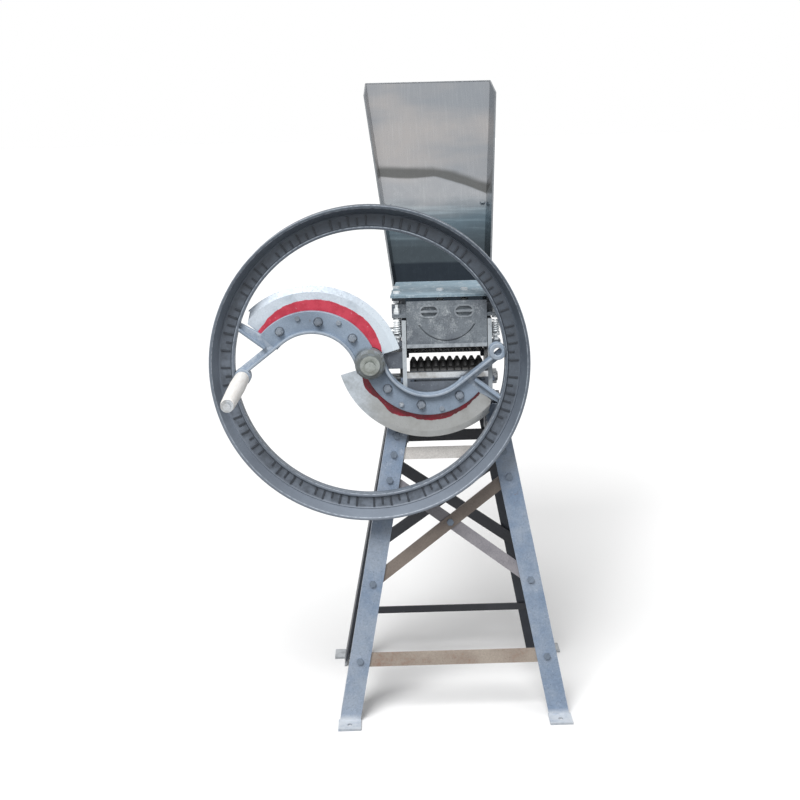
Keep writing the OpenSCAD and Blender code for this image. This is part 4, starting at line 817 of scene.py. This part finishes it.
# Crank handle: a steel spindle riveted in the left boss, and a turned softwood grip bleached
# and dusty from use, free to spin between its collar and washer.
dress(bright, "handle_spindle", "grip_washer")
wood, nt, shader = fresh("bleached_wood")
here = place(nt)
fibre = streaky(nt, here, (420.0, 14.0, 420.0), 4.0)
smudge = noise(nt, here, 45.0, 4.0, 0.65)
tone = tint(nt, spread(nt, fibre, 0.35, 0.75), srgb(254, 253, 251), srgb(242, 238, 232))
fill(nt, shader, {
    "Base Color": tint(nt, spread(nt, smudge, 0.52, 0.75, 0.0, 0.45), tone, srgb(222, 215, 208)),
    "Roughness": spread(nt, fibre, 0.3, 0.7, 0.55, 0.75),
    "Normal": raised(nt, fibre, 0.3, 0.0006)})
grip_bore, grip_r, grip_l = 0.008, 0.019, 0.262
grip_start = 0.0439
grip_end = grip_start + grip_l
grip_profile = rounded([
    (grip_bore, grip_start), (0.0148, grip_start), (0.0178, grip_start + 0.004),
    (grip_r, grip_start + 0.3 * grip_l), (0.018, grip_start + 0.6 * grip_l),
    (0.0157, grip_end - 0.006), (0.0132, grip_end), (grip_bore, grip_end)], 0.004, 6)
grip = piece("turned_grip", [turned(grip_profile, -boss_c, 64)], "crank_grip", wood, 50.0)
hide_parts("grip")


# Floor and light: a plain floor that is white to the eye and grey to the light it throws back,
# a white sky, one broad sun from above and in front, and a weaker one from the right.
def seen(nt):
    """One for rays that show the floor or sky: from the camera, off gloss and through glass."""
    rays = put(nt, "ShaderNodeLightPath", {}).outputs
    mirrored = sums(nt, "MAXIMUM", rays["Is Glossy Ray"], rays["Is Transmission Ray"])
    return sums(nt, "MAXIMUM", rays["Is Camera Ray"], mirrored)


def sun(name, towards, strength, softness):
    """A far lamp that shines along a direction, with soft edges to its shadows."""
    light = bpy.data.lights.new(name, "SUN")
    light.energy = strength
    light.angle = math.radians(softness)
    made = bpy.data.objects.new(name, light)
    made.rotation_euler = Vector(towards).to_track_quat("-Z", "Y").to_euler()
    bpy.context.scene.collection.objects.link(made)


floor_half = 60.0
floor_z = -0.0006
floor_mesh = bpy.data.meshes.new("floor")
floor_corners = [(x * floor_half, y * floor_half, floor_z) for x, y in ((-1, -1), (1, -1), (1, 1), (-1, 1))]
floor_mesh.from_pydata(floor_corners, [], [(0, 1, 2, 3)])
floor_mat, nt, shader = fresh("floor_white")
fill(nt, shader, {
    "Base Color": tint(nt, seen(nt), (0.18, 0.18, 0.18, 1.0), (0.96, 0.96, 0.96, 1.0)),
    "Roughness": 1.0, "Specular IOR Level": 0.0})
floor_mesh.materials.append(floor_mat)
floor = bpy.data.objects.new("floor", floor_mesh)
bpy.context.scene.collection.objects.link(floor)

sky_light = 0.36
sky = bpy.data.worlds.new("studio")
bpy.context.scene.world = sky
sky.use_nodes = True
nt = sky.node_tree
strength = sums(nt, "ADD", sky_light, times(nt, seen(nt), 1.0 - sky_light))
fill(nt, nt.nodes["Background"], {"Color": WHITE, "Strength": strength})
sun("key", (0.35, 0.75, -1.10), strength=2.85, softness=30.0)
sun("fill", (-0.8, 0.55, -0.6), strength=0.45, softness=50.0)

# Camera: a moderate lens a little above the wheel, tipped down and rolled slightly, with the
# frame shifted down so that the feet come into it.
eye_place = (-0.13436, -2.892, 1.50139)
pitch = math.radians(9.337)
yaw = math.radians(0.49)
roll = math.radians(-1.45)
ahead = Vector((math.sin(yaw) * math.cos(pitch), math.cos(yaw) * math.cos(pitch), -math.sin(pitch)))
level_right = Vector((math.cos(yaw), -math.sin(yaw), 0.0))
level_up = level_right.cross(ahead)
rolled_right = math.cos(roll) * level_right + math.sin(roll) * level_up
rolled_up = -math.sin(roll) * level_right + math.cos(roll) * level_up
camera = bpy.data.cameras.new("camera")
camera.sensor_width = 36.0
camera.lens = 52.637
camera.shift_y = -0.12
eye = bpy.data.objects.new("camera", camera)
facing = Matrix((rolled_right, rolled_up, -ahead)).transposed().to_4x4()
eye.matrix_world = Matrix.Translation(eye_place) @ facing
bpy.context.scene.collection.objects.link(eye)
bpy.context.scene.camera = eye
bpy.context.scene.view_settings.view_transform = "Standard"
